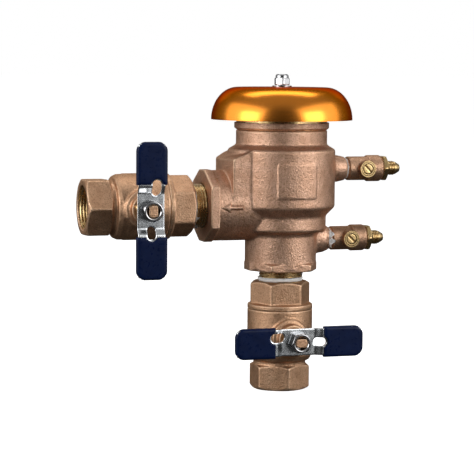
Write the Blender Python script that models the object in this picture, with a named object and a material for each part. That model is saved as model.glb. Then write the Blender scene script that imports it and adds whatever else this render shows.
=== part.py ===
"""Backflow preventer: a pressure vacuum breaker with two ball valves and two test cocks.

The origin is the centre of the inlet's end face. +Z runs up the body's axis, the outlet leaves towards -X,
the test cocks point to +X and every valve stem points to -Y. Lengths are in millimetres until a mesh is made.
"""

from math import atan2, cos, pi, radians, sin, sqrt, tau

import bmesh
import bpy
from mathutils import Matrix

MM = 0.001
GAP = 0.3  # between pieces that touch

# Driving dimensions
PIPE_R = 16.7  # outside radius of a 1 inch pipe thread
SOCKET_R = PIPE_R + GAP
VALVE_LENGTH = 83.5
INLET_NIPPLE_SHOWN = 8.9  # length of nipple left bare between a valve and the body
OUTLET_NIPPLE_SHOWN = 9.5
OUTLET_Z = 142.7
OUTLET_FACE_X = -64.0
UPPER_COCK_Z = 170.0
LOWER_COCK_Z = 115.8
UPPER_BOSS_END = 51.7
LOWER_BOSS_END = 38.7
TAPE_THICK = 0.6
NECK_TOP = 200.0
CANOPY_R = 54.4
CANOPY_RIM_Z = 208.1
CANOPY_TOP_Z = 233.0
CANOPY_THICK = 1.6

BODY_FOOT = VALVE_LENGTH + INLET_NIPPLE_SHOWN
COCK_GAP = TAPE_THICK + 2 * GAP

# Sides of a round piece, by its size
STEPS_CANOPY = 32
STEPS_LARGE = 24
STEPS_MEDIUM = 16
STEPS_SMALL = 12
STEPS_TINY = 12

# Valve and test cock layout along their own axes
BALL_U = 41.5
HANDLE_REACH = 50.8
COCK_PLUG_U = 14.1

ALONG_X = Matrix.Rotation(pi / 2, 4, "Y")  # local +Z points along +X
TOWARDS_VIEWER = Matrix.Rotation(pi / 2, 4, "X")  # local +Z points along -Y


# ---------------------------------------------------------------- materials

def finish(name, colour, roughness, metallic):
    material = bpy.data.materials.new(name)
    material.use_nodes = True
    shader = material.node_tree.nodes["Principled BSDF"]
    shader.inputs["Base Color"].default_value = (*colour, 1.0)
    shader.inputs["Roughness"].default_value = roughness
    shader.inputs["Metallic"].default_value = metallic
    return material


def make_finishes():
    return {
        "bronze": finish("cast_bronze", (0.42, 0.25, 0.14), 0.5, 1.0),
        "brass": finish("machined_brass", (0.72, 0.52, 0.22), 0.3, 1.0),
        "canopy": finish("orange_aluminium", (0.85, 0.32, 0.03), 0.2, 1.0),
        "steel": finish("plated_steel", (0.62, 0.65, 0.68), 0.3, 1.0),
        "chrome": finish("bright_steel", (0.8, 0.8, 0.8), 0.12, 1.0),
        "vinyl": finish("blue_vinyl", (0.012, 0.02, 0.07), 0.4, 0.0),
        "rubber": finish("black_rubber", (0.02, 0.02, 0.02), 0.6, 0.0),
        "white": finish("white_ptfe", (0.85, 0.85, 0.85), 0.5, 0.0),
        "plastic": finish("moulded_plastic", (0.08, 0.08, 0.09), 0.4, 0.0),
    }


# ---------------------------------------------------------------- shapes, as meshes in millimetres

def turned(outline, steps, place=None):
    """Revolve (radius, height) points about Z. Points off the axis at both ends close into a ring."""
    shape = bmesh.new()
    verts = [shape.verts.new((radius, 0, height)) for radius, height in outline]
    edges = [shape.edges.new(pair) for pair in zip(verts, verts[1:])]
    if outline[0][0] > 0:
        edges.append(shape.edges.new((verts[-1], verts[0])))
    bmesh.ops.spin(shape, geom=verts + edges, axis=(0, 0, 1), angle=tau, steps=steps, use_merge=True)
    bmesh.ops.remove_doubles(shape, verts=shape.verts, dist=0.001)
    return placed(shape, place)


def prism(points, low, high, place=None):
    """Extrude an outline of (x, y) points from one height to another."""
    shape = bmesh.new()
    floor = shape.faces.new([shape.verts.new((x, y, low)) for x, y in points])
    top = bmesh.ops.extrude_face_region(shape, geom=[floor])["geom"]
    moved = [item for item in top if isinstance(item, bmesh.types.BMVert)]
    bmesh.ops.translate(shape, verts=moved, vec=(0, 0, high - low))
    return placed(shape, place)


def rod(radius, low, high, steps=STEPS_TINY, place=None):
    """A plain cylinder along Z, for a pin or a bore."""
    return turned([(0, low), (radius, low), (radius, high), (0, high)], steps, place)


def ring(inner, outer, low, high):
    """The outline of a flat ring, to be turned."""
    return [(inner, low), (outer, low), (outer, high), (inner, high)]


def box(low, high):
    corners = [(low[0], low[1]), (high[0], low[1]), (high[0], high[1]), (low[0], high[1])]
    return prism(corners, low[2], high[2])


def placed(shape, place):
    if place is not None:
        bmesh.ops.transform(shape, matrix=place, verts=shape.verts)
    bmesh.ops.recalc_face_normals(shape, faces=shape.faces)
    return shape


def joined(shapes):
    """Several shapes in one mesh, for instance the cutters of a row of holes."""
    whole = bmesh.new()
    for shape in shapes:
        mesh = bpy.data.meshes.new("piece")
        shape.to_mesh(mesh)
        whole.from_mesh(mesh)
        shape.free()
        bpy.data.meshes.remove(mesh)
    return whole


def circle(radius, steps=24, centre=(0, 0), start=0.0, sweep=tau):
    """Points round an arc. A full turn leaves out the repeated last point."""
    count = steps if sweep == tau else steps + 1
    angles = [start + sweep * i / steps for i in range(count)]
    return [(centre[0] + radius * cos(a), centre[1] + radius * sin(a)) for a in angles]


def hexagon(across_flats, corner_angle=0.0):
    return circle(across_flats / sqrt(3), 6, start=radians(corner_angle))


def slot_outline(near, far, half_width, offset=0.0, steps=6):
    """A slot along X with round ends."""
    right = circle(half_width, steps, (far - half_width, offset), -pi / 2, pi)
    left = circle(half_width, steps, (near + half_width, offset), pi / 2, pi)
    return right + left


def rounded_outline(low, high, radius, steps=4):
    """A rectangle with round corners at its high X end and square ones at the low end."""
    upper = circle(radius, steps, (high[0] - radius, high[1] - radius), pi / 2, -pi / 2)
    lower = circle(radius, steps, (high[0] - radius, low[1] + radius), 0, -pi / 2)
    return [(low[0], high[1])] + upper + lower + [(low[0], low[1])]


# ---------------------------------------------------------------- objects

def add_object(name, shape, material, parent=None):
    bmesh.ops.scale(shape, vec=(MM, MM, MM), verts=shape.verts)
    mesh = bpy.data.meshes.new(name)
    shape.to_mesh(mesh)
    shape.free()
    mesh.shade_smooth()
    mesh.set_sharp_from_angle(angle=radians(35))
    if material is not None:
        mesh.materials.append(material)
    item = bpy.data.objects.new(name, mesh)
    item.parent = parent
    bpy.context.scene.collection.objects.link(item)
    return item


def combine(item, shape, operation):
    """Boolean a hidden tool shape into an object that has the same parent."""
    count = len(item.modifiers)
    tool = add_object(f"{item.name}_tool_{count}", shape, None, item.parent)
    tool.hide_render = True
    tool.display_type = "WIRE"
    step = item.modifiers.new(f"step_{count}", "BOOLEAN")
    step.operation = operation
    step.solver = "EXACT"
    step.object = tool
    return tool


def add(item, shape):
    return combine(item, shape, "UNION")


def cut(item, shape):
    return combine(item, shape, "DIFFERENCE")


def trim(item, shape):
    return combine(item, shape, "INTERSECT")


def add_empty(name, place, parent=None):
    empty = bpy.data.objects.new(name, None)
    empty.parent = parent
    empty.matrix_local = place
    bpy.context.scene.collection.objects.link(empty)
    return empty


def moved(x, y, z):
    return Matrix.Translation((x * MM, y * MM, z * MM))


def add_spring(name, material, radius, wire, turns, low, high, parent=None):
    """A compression spring about Z whose end coils lie close to flat."""
    curve = bpy.data.curves.new(name, "CURVE")
    curve.dimensions = "3D"
    curve.bevel_depth = wire * MM
    curve.bevel_resolution = 0
    curve.use_fill_caps = True
    steps = int(turns * 10)
    spline = curve.splines.new("POLY")
    spline.points.add(steps)
    bottom = low + wire
    rise = high - low - 2 * wire
    for i, point in enumerate(spline.points):
        part = i / steps
        climb = part - 0.4 * sin(tau * part) / tau
        angle = tau * turns * part
        spot = (radius * cos(angle), radius * sin(angle), bottom + rise * climb)
        point.co = (*(MM * value for value in spot), 1.0)
    curve.materials.append(material)
    item = bpy.data.objects.new(name, curve)
    item.parent = parent
    bpy.context.scene.collection.objects.link(item)
    return item


# ---------------------------------------------------------------- body casting

BOSS_R = 27.6
WRENCH_FLATS = 54.4  # across the flats of the hexagons round the inlet and the outlet
WRENCH_SIDE = 27.4  # where two opposite corners of those hexagons are cut off
WRENCH_LENGTH = 6.8
LOWER_R = 34.8
BARREL_R = 41.5
NECK_R = 35.1
NECK_BORE_R = 29.3
WATERWAY_R = 12.5
CHAMBER_FLOOR = 127.0
CHECK_SEAT_Z = 129.0
OUTLET_BOSS_R = 27.0
BLOCK_HALF_WIDTH = 26.65
BLOCK_FRONT_X = -46.6
BLOCK_RIDGE_X = -48.2
ROOF_SLOPE = 0.4225
SOCKET_DEPTH = 16.6
COCK_SOCKET_R = 7.1
COCK_SOCKET_DEPTH = 9.3
COCK_PASSAGE_R = 2.5
PAD_LOW = 149.5  # a blank raised pad on the front of the barrel
PAD_HIGH = 175.5


def body_outside():
    return turned([
        (0, BODY_FOOT), (25.8, BODY_FOOT), (BOSS_R, BODY_FOOT + 1.8),
        (BOSS_R, 119.5), (29.2, 122.0), (33.0, 122.6), (LOWER_R, 124.4),
        (LOWER_R, 134.7), (BARREL_R, 141.5), (BARREL_R, 184.4), (40.6, 185.8), (36.4, 188.2),
        (NECK_R, 189.6), (NECK_R, NECK_TOP), (0, NECK_TOP),
    ], STEPS_LARGE)


def body_inside():
    """The water passage: socket, seat lip, chamber, neck bore and the seal's counterbore."""
    return turned([
        (0, BODY_FOOT - 1), (SOCKET_R, BODY_FOOT - 1), (SOCKET_R, BODY_FOOT + SOCKET_DEPTH),
        (WATERWAY_R, BODY_FOOT + SOCKET_DEPTH), (WATERWAY_R, CHECK_SEAT_Z), (15.0, CHECK_SEAT_Z),
        (15.0, CHAMBER_FLOOR), (30.5, CHAMBER_FLOOR), (31.0, 137.0), (37.5, 143.5), (37.5, 183.0),
        (NECK_BORE_R, 187.5), (NECK_BORE_R, 196.9), (33.0, 196.9), (33.0, NECK_TOP + 1), (0, NECK_TOP + 1),
    ], STEPS_LARGE)


def add_wrench_end(body, face, back_slope, place=None):
    """A hexagon round a pipe socket about Z, with its corners at +X and -X cut off flat.

    The back of its corners is rounded off over back_slope.
    """
    corner_r = WRENCH_FLATS / sqrt(3)
    cut_y = (corner_r - WRENCH_SIDE) * sqrt(3)
    upper = [(WRENCH_SIDE, cut_y), (corner_r / 2, WRENCH_FLATS / 2),
             (-corner_r / 2, WRENCH_FLATS / 2), (-WRENCH_SIDE, cut_y)]
    lower = [(x, -y) for x, y in reversed(upper)]
    back = face + WRENCH_LENGTH
    end = add(body, prism(upper + lower, face, back, place))
    reach = corner_r + 0.2
    trim(end, turned([(0, face), (reach - 2.2, face), (reach, face + 1.2), (reach, back - back_slope),
                      (reach - 2.1 * back_slope, back), (0, back)], STEPS_MEDIUM, place))


def outlet_block():
    """The block that carries the outlet: round below, straight sides, and a roof that slopes down."""
    side = BLOCK_HALF_WIDTH
    round_below = circle(side, 14, (0, OUTLET_Z), pi, pi)
    profile = [(side, 190.0), (-side, 190.0)] + round_below
    # the outline is (y, z), so it is stood up to run along X
    stand_up = Matrix(((0, 0, 1, 0), (1, 0, 0, 0), (0, 1, 0, 0), (0, 0, 0, 1)))
    return prism(profile, -50.0, -8.0, stand_up)


def make_body(finishes):
    body = add_object("body_casting", body_outside(), finishes["bronze"])
    add_wrench_end(body, BODY_FOOT, 2.2)

    block = add(body, outlet_block())
    side = BLOCK_HALF_WIDTH + 1
    plan = [(0, -side), (BLOCK_FRONT_X, -side), (BLOCK_RIDGE_X, 0), (-47.2, 18.6), (-38.6, side), (0, side)]
    trim(block, prism(plan, 110, 195))
    lay_across = Matrix.Rotation(pi / 2, 4, "X")
    roof_start = (-32.4, 184.9)
    drop = 20.0 * ROOF_SLOPE
    roof = [(roof_start[0] + 20, roof_start[1] + drop), (roof_start[0] - 20, roof_start[1] - drop),
            (roof_start[0] - 20, 200), (roof_start[0] + 20, 200)]
    cut(block, prism(roof, -40, 40, lay_across))

    at_outlet = Matrix.Translation((0, 0, OUTLET_Z)) @ ALONG_X
    add(body, rod(OUTLET_BOSS_R, OUTLET_FACE_X + 2.0, -20.0, STEPS_LARGE, at_outlet))
    add_wrench_end(body, OUTLET_FACE_X, 0.3, at_outlet)

    at_upper = Matrix.Translation((0, 0, UPPER_COCK_Z)) @ ALONG_X
    at_lower = Matrix.Translation((0, 0, LOWER_COCK_Z)) @ ALONG_X
    add(body, turned([(0, 38.5), (10.5, 38.5), (10.3, 45), (9.2, UPPER_BOSS_END - 1),
                      (8.2, UPPER_BOSS_END), (0, UPPER_BOSS_END)], STEPS_SMALL, at_upper))
    add(body, turned([(0, 20), (11.5, 20), (11.5, 29.5), (10.8, 34), (9.2, LOWER_BOSS_END - 0.8),
                      (8.0, LOWER_BOSS_END), (0, LOWER_BOSS_END)], STEPS_SMALL, at_lower))

    arrow = [(-55.8, 142.6), (-48.5, 139.0), (-48.5, 140.95), (-38.5, 140.95),
             (-38.5, 144.25), (-48.5, 144.25), (-48.5, 146.2)]
    add(body, prism(arrow, 25.0, 27.8, lay_across))
    pad_start = radians(-112)
    pad_sweep = radians(43)
    pad = (circle(BARREL_R + 0.7, 5, start=pad_start, sweep=pad_sweep)
           + circle(BARREL_R - 1.5, 5, start=pad_start + pad_sweep, sweep=-pad_sweep))
    add(body, prism(pad, PAD_LOW, PAD_HIGH))

    cut(body, body_inside())
    cut(body, turned([(0, OUTLET_FACE_X - 1), (SOCKET_R, OUTLET_FACE_X - 1),
                      (SOCKET_R, OUTLET_FACE_X + SOCKET_DEPTH), (14.0, OUTLET_FACE_X + SOCKET_DEPTH),
                      (14.0, -20), (0, -20)], STEPS_MEDIUM, at_outlet))
    for boss_end, inner_end, place in ((UPPER_BOSS_END, 30, at_upper), (LOWER_BOSS_END, 8, at_lower)):
        socket_end = boss_end - COCK_SOCKET_DEPTH
        cut(body, turned([(0, inner_end), (COCK_PASSAGE_R, inner_end), (COCK_PASSAGE_R, socket_end),
                          (COCK_SOCKET_R, socket_end), (COCK_SOCKET_R, boss_end + 1),
                          (0, boss_end + 1)], STEPS_MEDIUM, place))


# ---------------------------------------------------------------- bonnet, canopy and air inlet

BONNET_R = 36.5
BONNET_SKIRT_R = 28.9
AIR_PORT_R = 17.0
AIR_SEAT_Z = 193.5
HUB_FLANGE_Z = 200.5
HUB_HEAD_R = 12.0
CAGE_FLOOR = 166.0
CAGE_TOP = 177.7
POPPET_TOP = 182.0
STUD_R = 3.1
STUD_HOLE_R = STUD_R + GAP
STUD_LOW = 216.0
GUIDE_HOLE_R = 4.4  # for the stems of both poppets
POPPET_STEM_R = 4.0


def spokes(count, near, far, half_width, low, high, first=0.0):
    """Radial bars about Z, as one mesh."""
    bars = []
    for i in range(count):
        bar = box((near, -half_width, low), (far, half_width, high))
        bmesh.ops.rotate(bar, matrix=Matrix.Rotation(first + tau * i / count, 3, "Z"), verts=bar.verts)
        bars.append(bar)
    return joined(bars)


def make_bonnet(finishes):
    bonnet = add_object("bonnet", turned([
        (24.5, 184), (BONNET_SKIRT_R, 184), (BONNET_SKIRT_R, NECK_TOP + GAP), (34.5, NECK_TOP + GAP),
        (BONNET_R, 202.3),
        (BONNET_R, 206), (31.5, 206), (29.0, HUB_FLANGE_Z), (AIR_PORT_R, HUB_FLANGE_Z),
        (AIR_PORT_R, AIR_SEAT_Z), (18.6, AIR_SEAT_Z), (18.6, 196.5), (24.5, 196.5),
    ], STEPS_LARGE), finishes["brass"])
    canopy_underside = CANOPY_TOP_Z - CANOPY_THICK
    add(bonnet, turned([
        (0, HUB_FLANGE_Z), (11.0, HUB_FLANGE_Z), (11.0, 203.5), (8.0, 208), (6.5, 214), (6.5, 227),
        (HUB_HEAD_R, 229), (HUB_HEAD_R, canopy_underside - GAP), (0, canopy_underside - GAP),
    ], STEPS_SMALL))
    add(bonnet, spokes(4, 9.0, 28.5, 1.6, HUB_FLANGE_Z - 1, 204.5, radians(45)))
    add(bonnet, spokes(3, 24.7, 28.6, 3.0, CAGE_TOP - 5, 185.0, radians(90)))
    add(bonnet, spokes(3, 6.0, 28.6, 2.5, CAGE_TOP - 5.5, CAGE_TOP, radians(90)))
    add(bonnet, turned([(0, CAGE_FLOOR), (13.0, CAGE_FLOOR), (13.0, 168.5), (8.0, 168.5),
                        (8.0, CAGE_TOP), (0, CAGE_TOP)], STEPS_SMALL))
    cut(bonnet, rod(GUIDE_HOLE_R, CAGE_FLOOR - 1, CAGE_TOP + 1))
    cut(bonnet, rod(GUIDE_HOLE_R, HUB_FLANGE_Z - 2.5, STUD_LOW - 2.5))
    cut(bonnet, rod(STUD_HOLE_R, STUD_LOW, canopy_underside))
    add_object("bonnet_seal", turned([
        (29.7, 197.9), (30.4, 197.2), (31.9, 197.2), (32.6, 197.9), (32.6, 199.2), (31.9, 199.9),
        (30.4, 199.9), (29.7, 199.2),
    ], STEPS_MEDIUM), finishes["rubber"])


def make_canopy(finishes):
    flat_r = 34.2
    steps = 7
    turn = [pi / 2 * i / steps for i in range(steps + 1)]
    reach = CANOPY_R - flat_r
    rise = CANOPY_TOP_Z - CANOPY_RIM_Z
    outer = [(flat_r + reach * sin(a), CANOPY_RIM_Z + rise * cos(a)) for a in turn]
    inner_reach = reach - CANOPY_THICK
    inner_rise = rise - CANOPY_THICK
    inner = [(flat_r + inner_reach * sin(a), CANOPY_RIM_Z + inner_rise * cos(a)) for a in reversed(turn)]
    hole_r = 3.5
    outline = [(hole_r, CANOPY_TOP_Z)] + outer + inner + [(hole_r, CANOPY_TOP_Z - CANOPY_THICK)]
    add_object("canopy", turned(outline, STEPS_CANOPY), finishes["canopy"])
    washer_low = CANOPY_TOP_Z + GAP
    washer_high = washer_low + 0.9
    add_object("canopy_washer", turned(ring(hole_r, 7.5, washer_low, washer_high), STEPS_SMALL),
               finishes["chrome"])
    nut_low = washer_high + GAP
    nut_top = nut_low + 8.4
    nut = add_object("canopy_nut", prism(hexagon(11.1, 20), nut_low, nut_low + 5.3), finishes["chrome"])
    add(nut, turned([(0, nut_low + 1.5), (5.1, nut_low + 1.5), (5.1, nut_top - 1.3), (4.4, nut_top),
                     (0, nut_top)], STEPS_SMALL))
    cut(nut, rod(STUD_HOLE_R, nut_low - 1, nut_top + 1))
    stud_top = nut_top - GAP
    add_object("canopy_stud", turned([
        (0, STUD_LOW + 0.5), (STUD_R, STUD_LOW + 0.5), (STUD_R, stud_top - 0.6),
        (2.5, stud_top), (0, stud_top),
    ], STEPS_TINY), finishes["steel"])


def make_air_inlet(finishes):
    hole_r = POPPET_STEM_R + GAP
    plate_r = 20.5
    stem_top = 205.0
    add_object("air_inlet_poppet", turned([
        (0, CAGE_TOP + GAP), (plate_r - 1, CAGE_TOP + GAP), (plate_r, 179), (plate_r, POPPET_TOP),
        (POPPET_STEM_R, POPPET_TOP), (POPPET_STEM_R, stem_top), (0, stem_top),
    ], STEPS_MEDIUM), finishes["plastic"])
    disc_low = POPPET_TOP + GAP
    disc_high = disc_low + 2.9
    add_object("air_inlet_disc", turned(ring(hole_r, 20.0, disc_low, disc_high), STEPS_MEDIUM),
               finishes["rubber"])
    plate_low = disc_high + GAP
    plate_high = plate_low + 1.5
    add_object("disc_retainer", turned(ring(hole_r, 12.0, plate_low, plate_high), STEPS_SMALL),
               finishes["steel"])
    nut_low = plate_high + GAP
    nut_high = nut_low + 3.0
    nut = add_object("poppet_nut", prism(hexagon(11.0), nut_low, nut_high), finishes["steel"])
    cut(nut, rod(hole_r, nut_low - 1, nut_high + 1))
    add_spring("loading_spring", finishes["steel"], 9.0, 0.55, 4, nut_low, HUB_FLANGE_Z - 1 - GAP)


# ---------------------------------------------------------------- check valve

def make_check(finishes):
    screw_hole_r = 2.8
    holder_r = 17.5
    stem_top = 168.0
    disc_low = CHECK_SEAT_Z + GAP
    disc_high = disc_low + 3.4
    holder_low = disc_high + GAP
    holder_top = holder_low + 4.5
    hole_end = 150.0
    add_object("check_poppet", turned([
        (0, hole_end), (screw_hole_r, hole_end), (screw_hole_r, holder_low), (holder_r, holder_low),
        (holder_r, holder_low + 3), (12, holder_top), (POPPET_STEM_R, holder_top),
        (POPPET_STEM_R, stem_top), (0, stem_top),
    ], STEPS_MEDIUM), finishes["plastic"])
    add_object("check_disc", turned(ring(screw_hole_r, 16.8, disc_low, disc_high), STEPS_MEDIUM),
               finishes["rubber"])
    guide_low = 112.0
    wing_top = CHECK_SEAT_Z - 2.5
    rim_r = WATERWAY_R - 0.7
    core_r = 5.0
    guide = add_object("check_guide", turned([
        (0, guide_low), (core_r, guide_low), (core_r, wing_top), (rim_r, wing_top),
        (rim_r, CHECK_SEAT_Z), (0, CHECK_SEAT_Z),
    ], STEPS_SMALL), finishes["plastic"])
    add(guide, spokes(4, core_r - 1, WATERWAY_R - 0.5, 1.0, guide_low, wing_top + 1))
    cut(guide, rod(screw_hole_r, guide_low - 1, disc_low))
    head_top = guide_low - GAP
    screw = add_object("check_screw", prism(hexagon(8.0), head_top - 2.6, head_top), finishes["steel"])
    add(screw, rod(screw_hole_r - GAP, head_top - 1, hole_end - 1))
    add_spring("check_spring", finishes["steel"], 9.8, 0.8, 6, holder_top + GAP, CAGE_FLOOR - GAP)


# ---------------------------------------------------------------- nipples and thread tape

def make_nipples(finishes):
    reach = SOCKET_DEPTH - GAP
    inner_r = 13.2
    valve_face = OUTLET_FACE_X - OUTLET_NIPPLE_SHOWN
    lie_along_x = ALONG_X.copy()
    lie_along_x.translation = (0, 0, OUTLET_Z)
    layouts = (
        ("inlet", None, VALVE_LENGTH, BODY_FOOT, VALVE_LENGTH + GAP, 3.0),
        ("outlet", lie_along_x, valve_face, OUTLET_FACE_X, valve_face + GAP, 1.2),
    )
    for name, place, low, high, tape_low, tape_width in layouts:
        chamfer = 1.2
        add_object(f"{name}_nipple", turned([
            (inner_r, low - reach), (PIPE_R - chamfer, low - reach), (PIPE_R, low - reach + chamfer),
            (PIPE_R, high + reach - chamfer), (PIPE_R - chamfer, high + reach), (inner_r, high + reach),
        ], STEPS_MEDIUM, place), finishes["brass"])
        tape = ring(SOCKET_R, SOCKET_R + 0.9, tape_low, tape_low + tape_width)
        add_object(f"{name}_thread_tape", turned(tape, STEPS_MEDIUM, place), finishes["white"])


# ---------------------------------------------------------------- ball valves

HEX_FLATS = 41.3
SHELL_R = 25.2
BALL_R = 16.0
PORT_R = 10.0
CAVITY_R = 20.0
CAVITY_LOW = 26.0
PIPE_SOCKET_R = 15.8  # the bare end of a valve is threaded for the supply pipe
SHELL_END = 62.0
GLAND_FLOOR = 26.5
GLAND_R = 8.8
STEM_R = 4.7
STEM_HOLE_R = STEM_R + GAP
STEM_END_R = 4.5
STEM_FLAT = 3.3  # half the width across the flats of the stem's end
TOWER_TOP = 33.0
PLATE_LOW = 42.5
PLATE_THICK = 2.3
BLADE_LOW = 45.4
BLADE_HALF_WIDTH = 10.25
BLADE_END = 49.4
BEND_START = 12.8
BEND_END = 18.3
GRIP_START = 19.0
# Near end, far end, half width and offset of each handle end's slot
SLOTS = {"a": (11.7, 21.2, 3.2, 0.0), "b": (11.2, 22.8, 3.3, -3.8)}


def hexagonal_end(face, back):
    """The outline of a cylinder with its end at face chamfered, to trim a hexagon's corners."""
    corner_r = HEX_FLATS / sqrt(3)
    inwards = 1.9 if back > face else -1.9
    outline = [(0, face), (corner_r - 3.4, face), (corner_r, face + inwards), (corner_r, back), (0, back)]
    return turned(outline if back > face else outline[::-1], STEPS_MEDIUM)


def make_valve_body(name, finishes, parent):
    hex_length = 18.8
    shell = add_object(f"{name}_valve_body", prism(hexagon(HEX_FLATS, 30), 0, hex_length),
                       finishes["bronze"], parent)
    trim(shell, hexagonal_end(0, hex_length))
    add(shell, turned([(0, 10), (20.3, 10), (20.3, 22.2), (23.4, 23.2), (24.8, 27), (SHELL_R, 48),
                       (SHELL_R, SHELL_END), (0, SHELL_END)], STEPS_LARGE))
    to_stem = Matrix.Translation((0, 0, BALL_U)) @ TOWARDS_VIEWER
    add(shell, turned([(0, 8), (14.4, 8), (14.4, 26.4), (11.4, 28.0), (11.0, TOWER_TOP), (0, TOWER_TOP)],
                      STEPS_MEDIUM, to_stem))
    add(shell, box((3.0, -26.6, 27.8), (6.8, -20.0, 34.2)))  # a small stop beside the stem's tower
    cut(shell, turned([(0, -1), (PIPE_SOCKET_R, -1), (PIPE_SOCKET_R, 19), (PORT_R, 19), (PORT_R, CAVITY_LOW),
                       (CAVITY_R, CAVITY_LOW), (CAVITY_R, SHELL_END + 1), (0, SHELL_END + 1)], STEPS_MEDIUM))
    cut(shell, turned([(0, 8), (STEM_HOLE_R, 8), (STEM_HOLE_R, GLAND_FLOOR), (GLAND_R, GLAND_FLOOR),
                       (GLAND_R, TOWER_TOP + 1), (0, TOWER_TOP + 1)], STEPS_SMALL, to_stem))


def make_retainer(name, finishes, parent, corner_angle):
    flange_low = SHELL_END + GAP
    hex_low = 66.5
    spigot_low = 57.0
    outline = hexagon(HEX_FLATS, corner_angle)
    retainer = add_object(f"{name}_retainer", prism(outline, hex_low - 1, VALVE_LENGTH),
                          finishes["bronze"], parent)
    trim(retainer, hexagonal_end(VALVE_LENGTH, hex_low - 1))
    add(retainer, turned([(0, spigot_low), (19.4, spigot_low), (19.4, flange_low), (SHELL_R, flange_low),
                          (SHELL_R, hex_low), (0, hex_low)], STEPS_LARGE))
    cut(retainer, turned([(0, spigot_low - 1), (10.5, spigot_low - 1), (10.5, hex_low), (SOCKET_R, hex_low),
                          (SOCKET_R, VALVE_LENGTH + 1), (0, VALVE_LENGTH + 1)], STEPS_MEDIUM))


def make_ball(name, finishes, turn):
    """A ball with its port along X, so it is shut while X lies across the pipe."""
    edge = sqrt(BALL_R ** 2 - PORT_R ** 2)
    open_angle = atan2(PORT_R, edge)
    steps = 8
    arc = [open_angle + (pi - 2 * open_angle) * i / steps for i in range(steps + 1)]
    outline = [(BALL_R * sin(a), -BALL_R * cos(a)) for a in arc]
    ball = add_object(f"{name}_ball", turned(outline, STEPS_MEDIUM, ALONG_X), finishes["chrome"], turn)
    cut(ball, box((-2.5, -20, 12.0), (2.5, 20, 20)))


def make_seats(name, finishes, parent):
    outline = [(10.5, 26.3), (18.0, 26.3), (18.0, 33.0), (14.2, 33.0), (12.0, 30.2), (10.5, 28.7)]
    mirrored = [(radius, 2 * BALL_U - height) for radius, height in outline]
    add_object(f"{name}_outer_seat", turned(outline, STEPS_MEDIUM), finishes["white"], parent)
    add_object(f"{name}_inner_seat", turned(mirrored, STEPS_MEDIUM), finishes["white"], parent)


def make_stem(name, finishes, turn):
    shoulder = PLATE_LOW - GAP
    tip = 53.6
    stem = add_object(f"{name}_stem", turned([
        (0, 16.3), (6.3, 16.3), (6.3, 18.3), (STEM_R, 18.3), (STEM_R, shoulder), (STEM_END_R, shoulder),
        (STEM_END_R, tip - 0.4), (STEM_END_R - 0.4, tip), (0, tip),
    ], STEPS_SMALL), finishes["brass"], turn)
    add(stem, box((-2.2, -5.0, 12.3), (2.2, 5.0, 17.0)))
    for side in (-1, 1):
        low, high = sorted((side * STEM_FLAT, side * 6.0))
        cut(stem, box((-6, low, shoulder), (6, high, tip + 1)))


def make_gland(name, finishes, around_stem):
    """The stem's packing ring and the nut that presses on it."""
    outer_r = GLAND_R - 0.5
    packing_low = GLAND_FLOOR + GAP
    packing_high = packing_low + 4.7
    add_object(f"{name}_packing", turned(ring(STEM_HOLE_R, outer_r, packing_low, packing_high), STEPS_SMALL),
               finishes["white"], around_stem)
    nut_top = 38.5
    skirt_low = packing_high + GAP
    gland = add_object(f"{name}_gland_nut", prism(hexagon(18.0, 15), TOWER_TOP + GAP, nut_top),
                       finishes["brass"], around_stem)
    add(gland, rod(outer_r, skirt_low, TOWER_TOP + 1, STEPS_SMALL))
    cut(gland, rod(STEM_HOLE_R, skirt_low - 1, nut_top + 1, STEPS_SMALL))


def handle_strip():
    """The stamped strip of the handle: a low centre plate with a raised blade at each end."""
    stations = [(-BLADE_END, BLADE_LOW), (-BEND_END, BLADE_LOW), (-BEND_START, PLATE_LOW),
                (BEND_START, PLATE_LOW), (BEND_END, BLADE_LOW), (BLADE_END, BLADE_LOW)]
    half = BLADE_HALF_WIDTH
    shape = bmesh.new()
    rows = []
    for x, low in stations:
        high = low + PLATE_THICK
        corners = ((-half, low), (half, low), (half, high), (-half, high))
        rows.append([shape.verts.new((x, y, z)) for y, z in corners])
    for near, far in zip(rows, rows[1:]):
        for i in range(4):
            k = (i + 1) % 4
            shape.faces.new((near[i], near[k], far[k], far[i]))
    shape.faces.new(rows[0])
    shape.faces.new(rows[-1])
    return placed(shape, None)


def make_grip(name, side, finishes, turn):
    """A vinyl grip at the +X end. Side b is then turned round to the other end."""
    low, high = 43.7, 49.4
    half = 11.75
    wall = 1.4
    outline = rounded_outline((GRIP_START, -half), (HANDLE_REACH, half), 5.0)
    grip = add_object(f"{name}_grip_{side}", prism(outline, low, high), finishes["vinyl"], turn)
    pocket_half = BLADE_HALF_WIDTH + GAP
    cut(grip, box((GRIP_START - 5, -pocket_half, low + wall), (BLADE_END + GAP, pocket_half, high - wall)))
    near, far, half_width, offset = SLOTS[side]
    notch = slot_outline(near, far + 0.8, half_width + 0.7, offset)
    cut(grip, prism(notch, low - 1, high + 1))
    if side == "b":
        for piece in [grip] + [step.object for step in grip.modifiers]:
            piece.rotation_euler = (0, 0, pi)


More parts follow.
